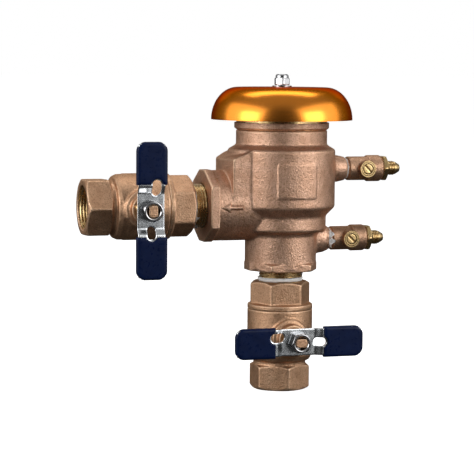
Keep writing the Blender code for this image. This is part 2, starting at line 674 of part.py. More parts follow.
def make_handle(name, finishes, turn):
    handle = add_object(f"{name}_handle", handle_strip(), finishes["steel"], turn)
    half_turn = Matrix.Rotation(pi, 4, "Z")
    for side, facing in (("a", None), ("b", half_turn)):
        cut(handle, prism(slot_outline(*SLOTS[side]), PLATE_LOW - 2, BLADE_LOW + PLATE_THICK + 2, facing))
    flat_half = STEM_FLAT + GAP
    hole = [(x, max(-flat_half, min(flat_half, y))) for x, y in circle(STEM_END_R + GAP, 24)]
    cut(handle, prism(hole, PLATE_LOW - 1, PLATE_LOW + PLATE_THICK + 1))
    nut_low = PLATE_LOW + PLATE_THICK + GAP
    nut_high = 53.1
    nut_corner = 8.2
    nut = add_object(f"{name}_handle_nut", prism(hexagon(14.3, 10), nut_low, nut_high),
                     finishes["chrome"], turn)
    trim(nut, turned([(0, nut_low), (nut_corner, nut_low), (nut_corner, nut_high - 1.0), (6.7, nut_high),
                      (0, nut_high)], STEPS_SMALL))
    cut(nut, rod(STEM_END_R + GAP, nut_low - 1, nut_high + 1, STEPS_SMALL))
    make_grip(name, "a", finishes, turn)
    make_grip(name, "b", finishes, turn)


def make_valve(name, place, retainer_corner, finishes):
    """A ball valve along its own +Z from the pipe's end, with its stem towards -Y, shown shut."""
    root = add_empty(f"{name}_valve", place)
    turn = add_empty(f"{name}_valve_turn", moved(0, 0, BALL_U) @ TOWARDS_VIEWER, root)
    make_valve_body(name, finishes, root)
    make_retainer(name, finishes, root, retainer_corner)
    make_seats(name, finishes, root)
    make_ball(name, finishes, turn)
    make_stem(name, finishes, turn)
    make_gland(name, finishes, turn)
    make_handle(name, finishes, turn)


# ---------------------------------------------------------------- test cocks

COCK_BORE_R = 1.9
PLUG_R = 5.2
PLUG_END_R = 3.95  # the slotted end that shows


def make_cock(name, height, boss_end, finishes):
    """A test cock along its own +Z out of its boss, with a slotted plug facing -Y."""
    start = boss_end + COCK_GAP
    root = add_empty(f"{name}_cock", moved(start, 0, height) @ ALONG_X)
    turn = add_empty(f"{name}_cock_turn", moved(0, 0, COCK_PLUG_U) @ TOWARDS_VIEWER, root)
    to_plug = Matrix.Translation((0, 0, COCK_PLUG_U)) @ TOWARDS_VIEWER
    thread_r = COCK_SOCKET_R - GAP
    tail = GAP - COCK_SOCKET_DEPTH

    body = add_object(f"{name}_cock_body", turned([
        (0, tail), (thread_r, tail), (thread_r, 0), (8.2, 0), (9.25, 1.2), (9.25, 16.4), (10.25, 17.4),
        (10.25, 27.0), (9.4, 28.5), (0, 28.5),
    ], STEPS_MEDIUM), finishes["bronze"], root)
    face = 13.0
    add(body, turned([(0, 0), (6.9, 0), (6.4, face), (0, face)], STEPS_SMALL, to_plug))
    cut(body, turned([(0, tail - 1), (COCK_BORE_R, tail - 1), (COCK_BORE_R, 19.5), (5.3, 19.5),
                      (5.3, 29.5), (0, 29.5)], STEPS_TINY))
    cut(body, rod(PLUG_R + GAP, -6.5, face + 1, STEPS_TINY, to_plug))

    plug = add_object(f"{name}_cock_plug", turned([
        (0, -6.2), (PLUG_R, -6.2), (PLUG_R, 7.4), (PLUG_END_R, 7.4), (PLUG_END_R, 12.3),
        (PLUG_END_R - 0.3, 12.7), (0, 12.7),
    ], STEPS_SMALL), finishes["brass"], turn)
    across = Matrix.Rotation(radians(-45), 4, "Z")
    cut(plug, rod(COCK_BORE_R, -8, 8, STEPS_TINY, across @ ALONG_X))
    groove = box((-6, -0.6, 11.3), (6, 0.6, 14))
    bmesh.ops.transform(groove, matrix=across, verts=groove.verts)
    cut(plug, groove)
    gland_inner = PLUG_END_R + GAP
    add_object(f"{name}_cock_packing", turned(ring(gland_inner, PLUG_R, 7.7, 9.7), STEPS_SMALL),
               finishes["rubber"], turn)
    add_object(f"{name}_cock_gland", turned(ring(gland_inner, PLUG_R, 10.0, face), STEPS_SMALL),
               finishes["brass"], turn)

    flare = add_object(f"{name}_cock_flare", turned([
        (0, 19.8), (5.0, 19.8), (5.0, 29.5), (4.7, 29.5), (4.7, 34.0), (5.55, 34.6), (5.55, 40.6),
        (4.7, 41.3), (2.9, 44.4), (0, 44.4),
    ], STEPS_SMALL), finishes["brass"], root)
    add(flare, prism(hexagon(18.6, 30), 28.8, 32.6))
    cut(flare, rod(2.2, 19, 45))

    lay_along_x = ALONG_X.copy()
    lay_along_x.translation = (0, 0, height)
    tape = ring(COCK_SOCKET_R, COCK_SOCKET_R + 0.9, boss_end + GAP, start - GAP)
    add_object(f"{name}_cock_tape", turned(tape, STEPS_SMALL, lay_along_x), finishes["white"])


def main():
    for item in list(bpy.data.objects):
        bpy.data.objects.remove(item, do_unlink=True)
    finishes = make_finishes()
    make_body(finishes)
    make_bonnet(finishes)
    make_canopy(finishes)
    make_air_inlet(finishes)
    make_check(finishes)
    make_nipples(finishes)
    outlet_end = OUTLET_FACE_X - OUTLET_NIPPLE_SHOWN - VALVE_LENGTH
    make_valve("inlet", Matrix(), -5, finishes)
    make_valve("outlet", moved(outlet_end, 0, OUTLET_Z) @ ALONG_X, 0, finishes)
    make_cock("upper", UPPER_COCK_Z, UPPER_BOSS_END, finishes)
    make_cock("lower", LOWER_COCK_Z, LOWER_BOSS_END, finishes)


main()
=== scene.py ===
"""Looks of a backflow preventer: a pressure vacuum breaker with two ball valves and two test cocks.

Shapes are made in millimetres. Castings, stampings and nuts are distance fields that are skinned with a fine
mesh, so their edges are rounded as a mould or a press leaves them. Turned parts are revolved outlines.
"""
from math import cos, hypot, pi, radians, sin, sqrt, tan, tau

import bpy
import numpy as np
from mathutils import Matrix, Vector


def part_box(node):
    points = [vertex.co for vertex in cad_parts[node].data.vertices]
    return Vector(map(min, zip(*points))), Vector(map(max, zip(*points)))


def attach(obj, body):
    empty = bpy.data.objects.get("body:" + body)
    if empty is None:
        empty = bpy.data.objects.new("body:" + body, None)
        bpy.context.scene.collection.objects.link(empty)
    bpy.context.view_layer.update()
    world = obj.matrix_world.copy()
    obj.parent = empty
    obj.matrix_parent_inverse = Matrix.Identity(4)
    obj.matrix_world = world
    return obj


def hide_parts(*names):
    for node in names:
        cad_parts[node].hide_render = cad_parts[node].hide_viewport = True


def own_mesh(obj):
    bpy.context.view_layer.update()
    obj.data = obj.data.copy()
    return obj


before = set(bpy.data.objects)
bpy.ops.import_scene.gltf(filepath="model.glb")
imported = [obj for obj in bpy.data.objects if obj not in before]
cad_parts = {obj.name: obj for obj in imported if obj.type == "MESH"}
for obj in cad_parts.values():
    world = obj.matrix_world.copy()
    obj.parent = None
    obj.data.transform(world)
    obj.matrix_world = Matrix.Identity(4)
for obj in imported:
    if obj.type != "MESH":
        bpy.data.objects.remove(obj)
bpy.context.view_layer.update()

MM = 0.001


def span(node):
    """A node's lowest and highest corner, in millimetres."""
    return [[value / MM for value in corner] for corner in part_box(node)]


# Places and main sizes, from the CAD model
BODY_LOW, BODY_HIGH = span("body_casting")
FOOT_Z = BODY_LOW[2]
NECK_TOP = BODY_HIGH[2]
OUTLET_FACE_X = BODY_LOW[0]
UPPER_BOSS_END = BODY_HIGH[0]
CANOPY_LOW, CANOPY_HIGH = span("canopy")
CANOPY_R = CANOPY_HIGH[0]
INLET_NIPPLE = span("inlet_nipple")
OUTLET_NIPPLE = span("outlet_nipple")
OUTLET_Z = (OUTLET_NIPPLE[0][2] + OUTLET_NIPPLE[1][2]) / 2
OUTLET_END_X = span("outlet_valve_body")[0][0]
UPPER_TAPE = span("upper_cock_tape")
LOWER_TAPE = span("lower_cock_tape")
UPPER_COCK_Z = (UPPER_TAPE[0][2] + UPPER_TAPE[1][2]) / 2
LOWER_COCK_Z = (LOWER_TAPE[0][2] + LOWER_TAPE[1][2]) / 2
GAP = 0.3  # the CAD model leaves this much between pieces that touch
LOWER_BOSS_END = LOWER_TAPE[0][0] - GAP
BALL_U = 41.5  # the ball's centre, along a valve from its outer end
COCK_PLUG_U = 14.1  # the plug's axis, along a test cock from its inner end
PIPE_PITCH = 2.2

ALONG_X = Matrix.Rotation(pi / 2, 4, "Y")
TOWARDS_FRONT = Matrix.Rotation(pi / 2, 4, "X")
INLET_VALVE = Matrix()
OUTLET_VALVE = Matrix.Translation((OUTLET_END_X, 0, OUTLET_Z)) @ ALONG_X
AT_OUTLET = Matrix.Translation((0, 0, OUTLET_Z)) @ ALONG_X


# ---------------------------------------------------------------- outlines and distance fields

def filleted(corners, steps=5):
    """An outline whose corners (u, v, radius) are rounded. A corner without a radius stays sharp."""
    points = []
    for i, corner in enumerate(corners):
        here = Vector(corner[:2])
        if len(corner) == 2:
            points.append(tuple(here))
            continue
        back = Vector(corners[i - 1][:2]) - here
        ahead = Vector(corners[(i + 1) % len(corners)][:2]) - here
        reach = min(corner[2] / tan(back.angle(ahead) / 2), 0.49 * back.length, 0.49 * ahead.length)
        start = here + back.normalized() * reach
        end = here + ahead.normalized() * reach
        for k in range(steps + 1):
            t = k / steps
            points.append(tuple(start * (1 - t) ** 2 + here * (2 * t * (1 - t)) + end * t ** 2))
    return points


BEYOND_AXIS = -20.0


def to_axis(*corners):
    """A turned solid's outline. It runs past the axis, so that the axis isn't an edge."""
    return [(BEYOND_AXIS, corners[0][1]), *corners, (BEYOND_AXIS, corners[-1][1])]


def inside(outline, u, v):
    """Signed distance to a closed outline of (u, v) points, below zero inside it."""
    nearest = np.full(u.shape, np.inf)
    within = np.zeros(u.shape, bool)
    for (u0, v0), (u1, v1) in zip(outline, outline[1:] + outline[:1]):
        du, dv = u1 - u0, v1 - v0
        length = du * du + dv * dv
        if length == 0:
            continue
        from_u, from_v = u - u0, v - v0
        along = np.clip((from_u * du + from_v * dv) / length, 0, 1)
        nearest = np.minimum(nearest, (from_u - along * du) ** 2 + (from_v - along * dv) ** 2)
        if dv:
            within ^= ((v0 > v) != (v1 > v)) & (u < u0 + from_v * du / dv)
    return np.where(within, -1, 1) * np.sqrt(nearest)


def hexagon(u, v, across_flats, corner_angle=0.0):
    """Distance to the sides of a hexagon that has a corner at corner_angle degrees."""
    far = None
    for k in range(3):
        side = radians(corner_angle + 30 + 60 * k)
        reach = np.abs(u * cos(side) + v * sin(side)) - across_flats / 2
        far = reach if far is None else overlap(far, reach, 0.9)
    return far


def joined(first, second, fillet=0.0):
    """Both fields as one, with a fillet of about this size where they meet."""
    if not fillet:
        return np.minimum(first, second)
    mix = np.clip(0.5 + 0.5 * (second - first) / fillet, 0, 1)
    return second + (first - second) * mix - fillet * mix * (1 - mix)


def overlap(first, second, rounding=0.0):
    return -joined(-first, -second, rounding)


def rounded_box(u, v, half_u, half_v, radius):
    """Distance to a rectangle about the origin with round corners."""
    out_u = np.abs(u) - half_u + radius
    out_v = np.abs(v) - half_v + radius
    outside = np.hypot(np.maximum(out_u, 0), np.maximum(out_v, 0))
    return outside + np.minimum(np.maximum(out_u, out_v), 0) - radius


def without(first, second, rounding=0.0):
    return overlap(first, -second, rounding)


def slab(value, low, high):
    """Distance to the space between two planes."""
    return np.abs(value - (low + high) / 2) - (high - low) / 2


# ---------------------------------------------------------------- meshes, as (points, faces)

CUBE_CORNERS = np.array([(i, j, k) for i in (0, 1) for j in (0, 1) for k in (0, 1)])
CUBE_EDGES = [(a, b) for a in CUBE_CORNERS for b in CUBE_CORNERS if (b - a).sum() == 1 and (b >= a).all()]


def skinned(field, low, high, step):
    """Skin a distance field by surface nets, then settle each point on the surface."""
    low = np.array(low, float)
    axes = [np.arange(a, b + step, step) for a, b in zip(low, high)]
    values = field(*np.meshgrid(*axes, indexing="ij"))
    solid = values < 0
    count = sum(solid[tuple(slice(c, n - 1 + c) for c, n in zip(corner, solid.shape))].astype(np.int8)
                for corner in CUBE_CORNERS)
    cells = np.argwhere((count > 0) & (count < 8))
    index = np.full(count.shape, -1)
    index[tuple(cells.T)] = np.arange(len(cells))

    total = np.zeros(cells.shape)
    hits = np.zeros(len(cells))
    for start, end in CUBE_EDGES:
        a = values[tuple((cells + start).T)]
        b = values[tuple((cells + end).T)]
        crossed = (a < 0) != (b < 0)
        part = np.where(crossed, a / np.where(crossed, a - b, 1), 0)
        total += crossed[:, None] * (start + part[:, None] * (end - start))
        hits += crossed
    points = low + step * (cells + total / hits[:, None])

    faces = []
    for axis in range(3):
        aside = [np.eye(3, dtype=int)[(axis + k) % 3] for k in (1, 2)]
        lower = solid[tuple(slice(0, -1) if k == axis else slice(None) for k in range(3))]
        upper = solid[tuple(slice(1, None) if k == axis else slice(None) for k in range(3))]
        at = np.argwhere(lower != upper)
        around = (at, at - aside[0], at - aside[0] - aside[1], at - aside[1])
        quads = np.stack([index[tuple(cell.T)] for cell in around], axis=1)
        leaving = lower[tuple(at.T)]
        faces.append(np.where(leaving[:, None], quads, quads[:, ::-1]))
    return settled(points, field, step), np.concatenate(faces).tolist()


def settled(points, field, step):
    reach = 0.04
    for _ in range(3):
        value = field(*points.T)
        slope = np.empty(points.shape)
        for axis in range(3):
            shift = np.zeros(3)
            shift[axis] = reach
            slope[:, axis] = (field(*(points + shift).T) - field(*(points - shift).T)) / (2 * reach)
        steepness = np.maximum((slope ** 2).sum(axis=1), 0.25)
        move = np.clip(value / steepness, -step / 2, step / 2)
        points = points - move[:, None] * slope
    return points


def rings(rows, closed):
    """A mesh through equal rings of points. The last ring joins the first, or both ends are capped."""
    rows = np.array(rows)
    count, steps = rows.shape[:2]
    faces = []
    for i in range(count if closed else count - 1):
        near, far = i * steps, (i + 1) % count * steps
        for k in range(steps):
            after = (k + 1) % steps
            faces.append([near + k, near + after, far + after, far + k])
    if not closed:
        faces.append(list(range(steps))[::-1])
        faces.append([(count - 1) * steps + k for k in range(steps)])
    return rows.reshape(-1, 3), faces


def circle(angles, radius, height):
    """Points about Z at these angles. The radius and the height are each one number or one for each angle."""
    return np.stack([radius * np.cos(angles), radius * np.sin(angles), np.broadcast_to(height, angles.shape)],
                    axis=1)


def turned(outline, steps=96, tube=False):
    """Revolve (radius, height) points about Z, outside first going up. A tube's outline closes on itself."""
    angles = np.arange(steps) * tau / steps
    return rings([circle(angles, radius, height) for radius, height in outline], tube)


def threaded(root, depth, pitch, low, high, wall, steps=96):
    """A tube about Z with a helical thread on the side away from the wall radius."""
    angles = np.arange(steps) * tau / steps
    heights = np.linspace(low, high, int((high - low) / pitch * 8) + 2)
    rows = []
    for height in heights:
        wave = np.abs(2 * ((height / pitch - angles / tau) % 1) - 1)
        crest = np.clip(1.3 * wave - 0.15, 0, 1)
        fade = min(1, (height - low) / pitch, (high - height) / pitch)
        radius = root + depth * crest * fade
        rows.append(circle(angles, radius, height))
    rows += [circle(angles, wall, height) for height in (high, low)]
    return rings(rows, True)


def coiled(radius, wire, turns, low, high, around=14):
    """A compression spring about Z, with end coils that lie close to flat."""
    steps = turns * 40
    rows = []
    for i in range(steps + 1):
        part = i / steps
        angle = tau * turns * part
        climb = part - 0.4 * sin(tau * part) / tau
        height = low + wire + (high - low - 2 * wire) * climb
        ring = [((radius + wire * cos(a)) * cos(angle), (radius + wire * cos(a)) * sin(angle),
                 height + wire * sin(a)) for a in np.arange(around) * tau / around]
        rows.append(ring)
    return rings(rows, False)


def merged(*shapes):
    points, faces = [], []
    start = 0
    for shape_points, shape_faces in shapes:
        points.append(np.asarray(shape_points))
        faces += [[start + k for k in face] for face in shape_faces]
        start += len(shape_points)
    return np.concatenate(points), faces


def piece(name, shape, finish, body, place=None, replaces=(), sharp=40):
    """Add a millimetre shape to the scene as a named piece that rides on a CAD body."""
    points, faces = shape
    mesh = bpy.data.meshes.new(name)
    mesh.from_pydata(np.asarray(points).tolist(), [], faces)
    mesh.transform(Matrix.Scale(MM, 4) @ (place or Matrix()))
    mesh.shade_smooth()
    mesh.set_sharp_from_angle(angle=radians(sharp))
    mesh.materials.append(finish)
    item = bpy.data.objects.new(name, mesh)
    bpy.context.scene.collection.objects.link(item)
    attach(item, body)
    if replaces:
        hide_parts(*replaces)
    return item


# ---------------------------------------------------------------- materials

class Finish:
    """A Principled material for one of the record's slots, with helpers for the nodes that feed it."""

    def __init__(self, name, roughness, metallic=0.0, look=None, **sockets):
        self.material = bpy.data.materials.new(f"{look or name}_look")
        self.material["slot"] = name
        self.material.use_nodes = True
        self.tree = self.material.node_tree
        self.shader = self.tree.nodes["Principled BSDF"]
        self.shader.inputs["Metallic"].default_value = metallic
        self.shader.inputs["Roughness"].default_value = roughness
        for socket, value in sockets.items():
            self.shader.inputs[socket.replace("_", " ").title().replace("Ior", "IOR")].default_value = value
        self.place = self.tree.nodes.new("ShaderNodeTexCoord").outputs["Object"]

    def node(self, kind, **values):
        made = self.tree.nodes.new(kind)
        for name, value in values.items():
            setattr(made, name, value)
        return made

    def link(self, source, target):
        self.tree.links.new(source, target)

    def noise(self, size, detail=3.0, stretch=None):
        """Noise whose features are about this many millimetres across."""
        place = self.place
        if stretch:
            mapping = self.node("ShaderNodeMapping")
            mapping.inputs["Scale"].default_value = stretch
            self.link(place, mapping.inputs["Vector"])
            place = mapping.outputs["Vector"]
        made = self.node("ShaderNodeTexNoise")
        made.inputs["Scale"].default_value = 1 / (size * MM)
        made.inputs["Detail"].default_value = detail
        self.link(place, made.inputs["Vector"])
        return made.outputs["Fac"]

    def rings(self, size):
        """Noise that only changes with the distance from the canopy's axis and with height."""
        parts = self.node("ShaderNodeSeparateXYZ")
        self.link(self.place, parts.inputs[0])
        flat = self.node("ShaderNodeCombineXYZ")
        self.link(parts.outputs["X"], flat.inputs["X"])
        self.link(parts.outputs["Y"], flat.inputs["Y"])
        length = self.node("ShaderNodeVectorMath", operation="LENGTH")
        self.link(flat.outputs[0], length.inputs[0])
        spun = self.node("ShaderNodeCombineXYZ")
        self.link(length.outputs["Value"], spun.inputs["X"])
        self.link(parts.outputs["Z"], spun.inputs["Z"])
        made = self.node("ShaderNodeTexNoise")
        made.inputs["Scale"].default_value = 1 / (size * MM)
        made.inputs["Detail"].default_value = 2.0
        self.link(spun.outputs[0], made.inputs["Vector"])
        return made.outputs["Fac"]

    def ramp(self, source, *stops):
        """A colour for each (position, colour) stop."""
        made = self.node("ShaderNodeValToRGB")
        elements = made.color_ramp.elements
        while len(elements) < len(stops):
            elements.new(0.5)
        for element, (position, colour) in zip(elements, stops):
            element.position = position
            element.color = (*colour, 1.0)
        self.link(source, made.inputs["Fac"])
        return made.outputs["Color"]

    def range(self, source, low, high, start=0.35, end=0.65):
        made = self.node("ShaderNodeMapRange")
        for name, value in (("From Min", start), ("From Max", end), ("To Min", low), ("To Max", high)):
            made.inputs[name].default_value = value
        self.link(source, made.inputs["Value"])
        return made.outputs["Result"]

    def mix(self, factor, first, second):
        made = self.node("ShaderNodeMix", data_type="RGBA")
        self.link(factor, made.inputs["Factor"])
        self.link(first, made.inputs["A"])
        if isinstance(second, tuple):
            made.inputs["B"].default_value = (*second, 1.0)
        else:
            self.link(second, made.inputs["B"])
        return made.outputs["Result"]

    def colour(self, source):
        self.link(source, self.shader.inputs["Base Color"])

    def roughness(self, source):
        self.link(source, self.shader.inputs["Roughness"])

    def bump(self, *layers):
        """Stack (height, depth in millimetres) layers, the coarsest first."""
        normal = None
        for height, depth in layers:
            made = self.node("ShaderNodeBump")
            made.inputs["Distance"].default_value = depth * MM
            self.link(height, made.inputs["Height"])
            if normal is not None:
                self.link(normal, made.inputs["Normal"])
            normal = made.outputs["Normal"]
        self.link(normal, self.shader.inputs["Normal"])

    def edges(self, start, end):
        """A painted highlight: rises from 0 to 1 on convex edges, where the colour is made lighter as if
        light caught them.
        """
        geometry = self.node("ShaderNodeNewGeometry")
        return self.range(geometry.outputs["Pointiness"], 0, 1, start, end)


def cast_bronze(look, dark, light):
    finish = Finish("cast_bronze", 0.48, 0.93, look, specular_tint=(0.85, 0.66, 0.50, 1.0))
    tone = finish.ramp(finish.noise(9.0, 4.0), (0.3, dark), (0.7, light))
    speckle = finish.range(finish.noise(1.0, 2.0), 0, 0.6, 0.50, 0.68)
    tone = finish.mix(speckle, tone, (0.30, 0.155, 0.08))
    # Convex edges are mixed towards a pale bronze: a painted highlight along the edges.
    finish.colour(finish.mix(finish.edges(0.515, 0.57), tone, (0.92, 0.67, 0.46)))
    finish.roughness(finish.range(finish.noise(3.0), 0.42, 0.54))
    finish.bump((finish.noise(7.0, 2.0), 0.2), (finish.noise(1.6, 2.0), 0.26), (finish.noise(0.8, 2.0), 0.16))
    return finish.material


def orange_aluminium():
    finish = Finish("orange_aluminium", 0.26, 1.0, specular_tint=(0.60, 0.14, 0.01, 1.0))
    tone = finish.noise(30.0, 2.0)
    finish.colour(finish.ramp(tone, (0.35, (0.85, 0.275, 0.034)), (0.65, (0.91, 0.31, 0.042))))
    finish.roughness(finish.range(finish.rings(2.0), 0.23, 0.26))
    finish.bump((finish.noise(25.0, 1.0), 0.04))
    return finish.material


def mottled(name, roughness, metallic, tones, gloss, relief, **sockets):
    """A slightly varied finish. tones: size, dark, light. gloss: size, from, to. relief: depth, noise."""
    finish = Finish(name, roughness, metallic, **sockets)
    size, dark, light = tones
    finish.colour(finish.ramp(finish.noise(size), (0.3, dark), (0.7, light)))
    size, low, high = gloss
    finish.roughness(finish.range(finish.noise(size), low, high))
    depth, *grain = relief
    finish.bump((finish.noise(*grain), depth))
    return finish.material


body_bronze = cast_bronze("body_bronze", (0.59, 0.353, 0.236), (0.75, 0.48, 0.34))
valve_bronze = cast_bronze("valve_bronze", (0.545, 0.318, 0.188), (0.695, 0.435, 0.272))
cock_bronze = cast_bronze("cock_bronze", (0.46, 0.27, 0.17), (0.585, 0.365, 0.24))
brass = mottled("machined_brass", 0.3, 1.0, (6.0, (0.50, 0.34, 0.15), (0.64, 0.46, 0.23)),
                (2.0, 0.24, 0.34), (0.02, 4.0, 2.0))
canopy_metal = orange_aluminium()
steel = mottled("plated_steel", 0.24, 1.0, (14.0, (0.70, 0.73, 0.76), (0.82, 0.84, 0.85)),
                (5.0, 0.20, 0.28), (0.04, 8.0, 1.0))
chrome = mottled("bright_steel", 0.14, 1.0, (5.0, (0.46, 0.46, 0.47), (0.58, 0.58, 0.59)),
                 (3.0, 0.12, 0.19), (0.02, 4.0, 1.0))
vinyl = mottled("blue_vinyl", 0.32, 0.0, (8.0, (0.0030, 0.0085, 0.040), (0.0044, 0.0120, 0.053)),
                (2.5, 0.26, 0.38), (0.08, 7.0, 1.0), specular_ior_level=0.13)
rubber = mottled("black_rubber", 0.55, 0.0, (3.0, (0.012, 0.012, 0.013), (0.03, 0.03, 0.03)),
                 (1.0, 0.48, 0.66), (0.02, 0.5, 2.0))
ptfe = mottled("white_ptfe", 0.5, 0.0, (1.5, (0.80, 0.80, 0.79), (0.93, 0.93, 0.92)),
               (0.8, 0.4, 0.6), (0.12, 1.2, 3.0, (1.0, 1.0, 3.0)))
plastic = mottled("moulded_plastic", 0.42, 0.0, (4.0, (0.045, 0.045, 0.05), (0.07, 0.07, 0.075)),
                  (1.5, 0.36, 0.5), (0.015, 0.6, 2.0))


# ---------------------------------------------------------------- body casting

WRENCH_FLATS = 54.4
WRENCH_SIDE = 27.4
WRENCH_LENGTH = 6.8
BOSS_R = 27.6
OUTLET_BOSS_R = 27.0
SOCKET_R = 17.0
SOCKET_DEPTH = 16.6
BLOCK_HALF = 26.65  # half the width of the block that carries the outlet

BODY_OUTSIDE = filleted(to_axis(
    (25.8, FOOT_Z, 0.5), (BOSS_R, FOOT_Z + 1.8, 0.6), (BOSS_R, 119.5, 3.0), (29.2, 122.0, 1.5),
    (33.0, 122.6, 2.0), (34.8, 124.4, 1.5), (34.8, 134.7, 4.0), (41.5, 141.5, 4.0), (41.5, 184.4, 1.0),
    (40.6, 185.8, 0.8), (36.4, 188.2, 2.5), (35.1, 189.6, 1.5), (35.1, NECK_TOP, 0.7),
))
BODY_INSIDE = filleted(to_axis(
    (SOCKET_R + 1.0, FOOT_Z - 9), (SOCKET_R, FOOT_Z + 1.2), (SOCKET_R, FOOT_Z + SOCKET_DEPTH),
    (12.5, FOOT_Z + SOCKET_DEPTH), (12.5, 129.0, 0.8), (15.0, 129.0, 0.8), (15.0, 127.0), (30.5, 127.0, 2.0),
    (31.0, 137.0, 4.0), (37.5, 143.5, 4.0), (37.5, 183.0, 2.0), (29.3, 187.5, 1.5), (29.3, 196.9),
    (33.0, 196.9), (33.0, NECK_TOP + 9),
))
BLOCK_PLAN = filleted([(0, -BLOCK_HALF), (-46.6, -BLOCK_HALF, 0.7), (-48.2, 0, 0.7), (-47.2, 18.6, 2.0),
                       (-38.6, BLOCK_HALF, 2.0), (0, BLOCK_HALF)])
OUTLET_BOSS = to_axis((OUTLET_BOSS_R, OUTLET_FACE_X + 2), (OUTLET_BOSS_R, -20))
OUTLET_BORE = to_axis((SOCKET_R + 1.0, OUTLET_FACE_X - 9), (SOCKET_R, OUTLET_FACE_X + 1.2),
                      (SOCKET_R, OUTLET_FACE_X + SOCKET_DEPTH), (14.0, OUTLET_FACE_X + SOCKET_DEPTH),
                      (14.0, -20.0))
UPPER_BOSS = filleted(to_axis((10.6, 30), (10.4, 45, 2.0), (9.2, UPPER_BOSS_END - 1, 1.0),
                              (8.2, UPPER_BOSS_END, 0.5)))
LOWER_BOSS = filleted(to_axis((11.6, 18), (11.5, 29.5, 2.0), (10.8, 34, 2.0),
                              (9.2, LOWER_BOSS_END - 0.8, 1.0), (8.0, LOWER_BOSS_END, 0.5)))
ARROW = filleted([(-55.8, 142.6, 0.5), (-48.5, 139.0, 0.5), (-48.5, 140.95), (-38.5, 140.95, 0.5),
                  (-38.5, 144.25, 0.5), (-48.5, 144.25), (-48.5, 146.2, 0.5)])
ROOF_SLOPE = 0.4225
ROOF_AT = (-32.4, 184.9)
PAD_FACING = -90.5  # degrees round the axis
PAD_HALF_ANGLE = 21.5
PAD_HEIGHTS = (149.5, 175.5)
PAD_R = 42.0
MM_PER_DEGREE = 0.7  # round the casting at the pad


def wrench_end(u, v, height, back_slope):
    """The hexagon round a pipe socket, at this height over its face, with two corners cut off flat."""
    outline = overlap(hexagon(u, v, WRENCH_FLATS), np.abs(u) - WRENCH_SIDE, 0.5)
    reach = WRENCH_FLATS / sqrt(3) + 0.2
    limits = to_axis((reach - 2.2, 0), (reach, 1.2), (reach, WRENCH_LENGTH - back_slope),
                     (reach - 2.1 * back_slope, WRENCH_LENGTH))
    return overlap(outline, inside(limits, np.hypot(u, v), height), 0.5)


def body_field(x, y, z):
    radius = np.hypot(x, y)
    round_x = np.hypot(y, z - OUTLET_Z)
    shape = inside(BODY_OUTSIDE, radius, z)
    shape = joined(shape, wrench_end(x, y, z - FOOT_Z, 2.2), 0.3)

    block = np.where(z > OUTLET_Z, np.abs(y), round_x) - BLOCK_HALF
    block = overlap(block, inside(BLOCK_PLAN, x, y), 1.0)
    roof = (z - ROOF_AT[1] - (x - ROOF_AT[0]) * ROOF_SLOPE) / hypot(1, ROOF_SLOPE)
    block = overlap(block, roof, 1.2)
    shape = joined(shape, block, 1.6)

    boss = joined(inside(OUTLET_BOSS, round_x, x), wrench_end(z - OUTLET_Z, y, x - OUTLET_FACE_X, 0.3), 0.3)
    shape = joined(shape, boss, 0.8)

    for outline, height in ((UPPER_BOSS, UPPER_COCK_Z), (LOWER_BOSS, LOWER_COCK_Z)):
        shape = joined(shape, inside(outline, np.hypot(y, z - height), x), 3.0)

    turn = np.degrees(np.arctan2(y, x)) - PAD_FACING
    pad = overlap(slab(turn, -PAD_HALF_ANGLE, PAD_HALF_ANGLE) * MM_PER_DEGREE, slab(z, *PAD_HEIGHTS), 2.0)
    pad = overlap(pad, radius - PAD_R, 0.8)
    shape = joined(shape, pad, 0.9)

    shape = without(shape, inside(BODY_INSIDE, radius, z), 0.5)
    shape = without(shape, inside(OUTLET_BORE, round_x, x), 0.5)
    for boss_end, height in ((UPPER_BOSS_END, UPPER_COCK_Z), (LOWER_BOSS_END, LOWER_COCK_Z)):
        socket = to_axis((7.1, boss_end - 9.3), (7.1, boss_end + 5))
        shape = without(shape, inside(socket, np.hypot(y, z - height), x), 0.3)
    return shape


def arrow_field(x, y, z):
    """The cast arrow. Its sides slope, so that it leaves the mould."""
    draft = 0.9 * np.maximum(-26.4 - y, 0)
    return overlap(inside(ARROW, x, z) - 0.8 + draft, slab(y, -28.4, -25.0), 0.4)


def make_body():
    coarse = 0.85
    low = [value - 2 for value in BODY_LOW]
    high = [value + 2 for value in BODY_HIGH]
    piece("cast_body", skinned(body_field, low, high, coarse), body_bronze, "body",
          replaces=("body_casting",), sharp=60)
    piece("flow_arrow", skinned(arrow_field, (-57, -29, 137.5), (-37, -24, 147.5), 0.4), body_bronze, "body")


# ---------------------------------------------------------------- bonnet, canopy and air inlet

BONNET_RING = filleted([
    (24.5, 184.0), (28.9, 184.0), (28.9, 200.3), (34.6, 200.3, 0.3), (36.5, 201.9, 0.3), (36.5, 206.0, 0.4),
    (31.5, 206.0, 0.4), (29.0, 200.5, 1.0), (17.0, 200.5, 0.3), (17.0, 193.5, 0.2), (18.6, 193.5, 0.2),
    (18.6, 196.5), (24.5, 196.5),
])
BONNET_LAND = filleted([(32.5, 205.8), (35.0, 205.8), (35.0, 207.9, 0.3), (32.5, 207.9, 0.3)])
BONNET_HUB = filleted(to_axis(
    (11.0, 200.5), (11.0, 203.5, 1.0), (8.0, 208.0, 2.0), (6.5, 214.0, 2.0), (6.5, 227.0, 1.0),
    (12.0, 229.0, 0.6), (12.0, 231.1),
))
CAGE_HUB = to_axis((13.0, 166.0), (13.0, 168.5), (8.0, 168.5), (8.0, 177.7))


def bar(x, y, angle, near, far, half_width):
    """A radial bar, seen along Z."""
    along = x * cos(angle) + y * sin(angle)
    across = y * cos(angle) - x * sin(angle)
    return overlap(slab(along, near, far), np.abs(across) - half_width, 0.6)


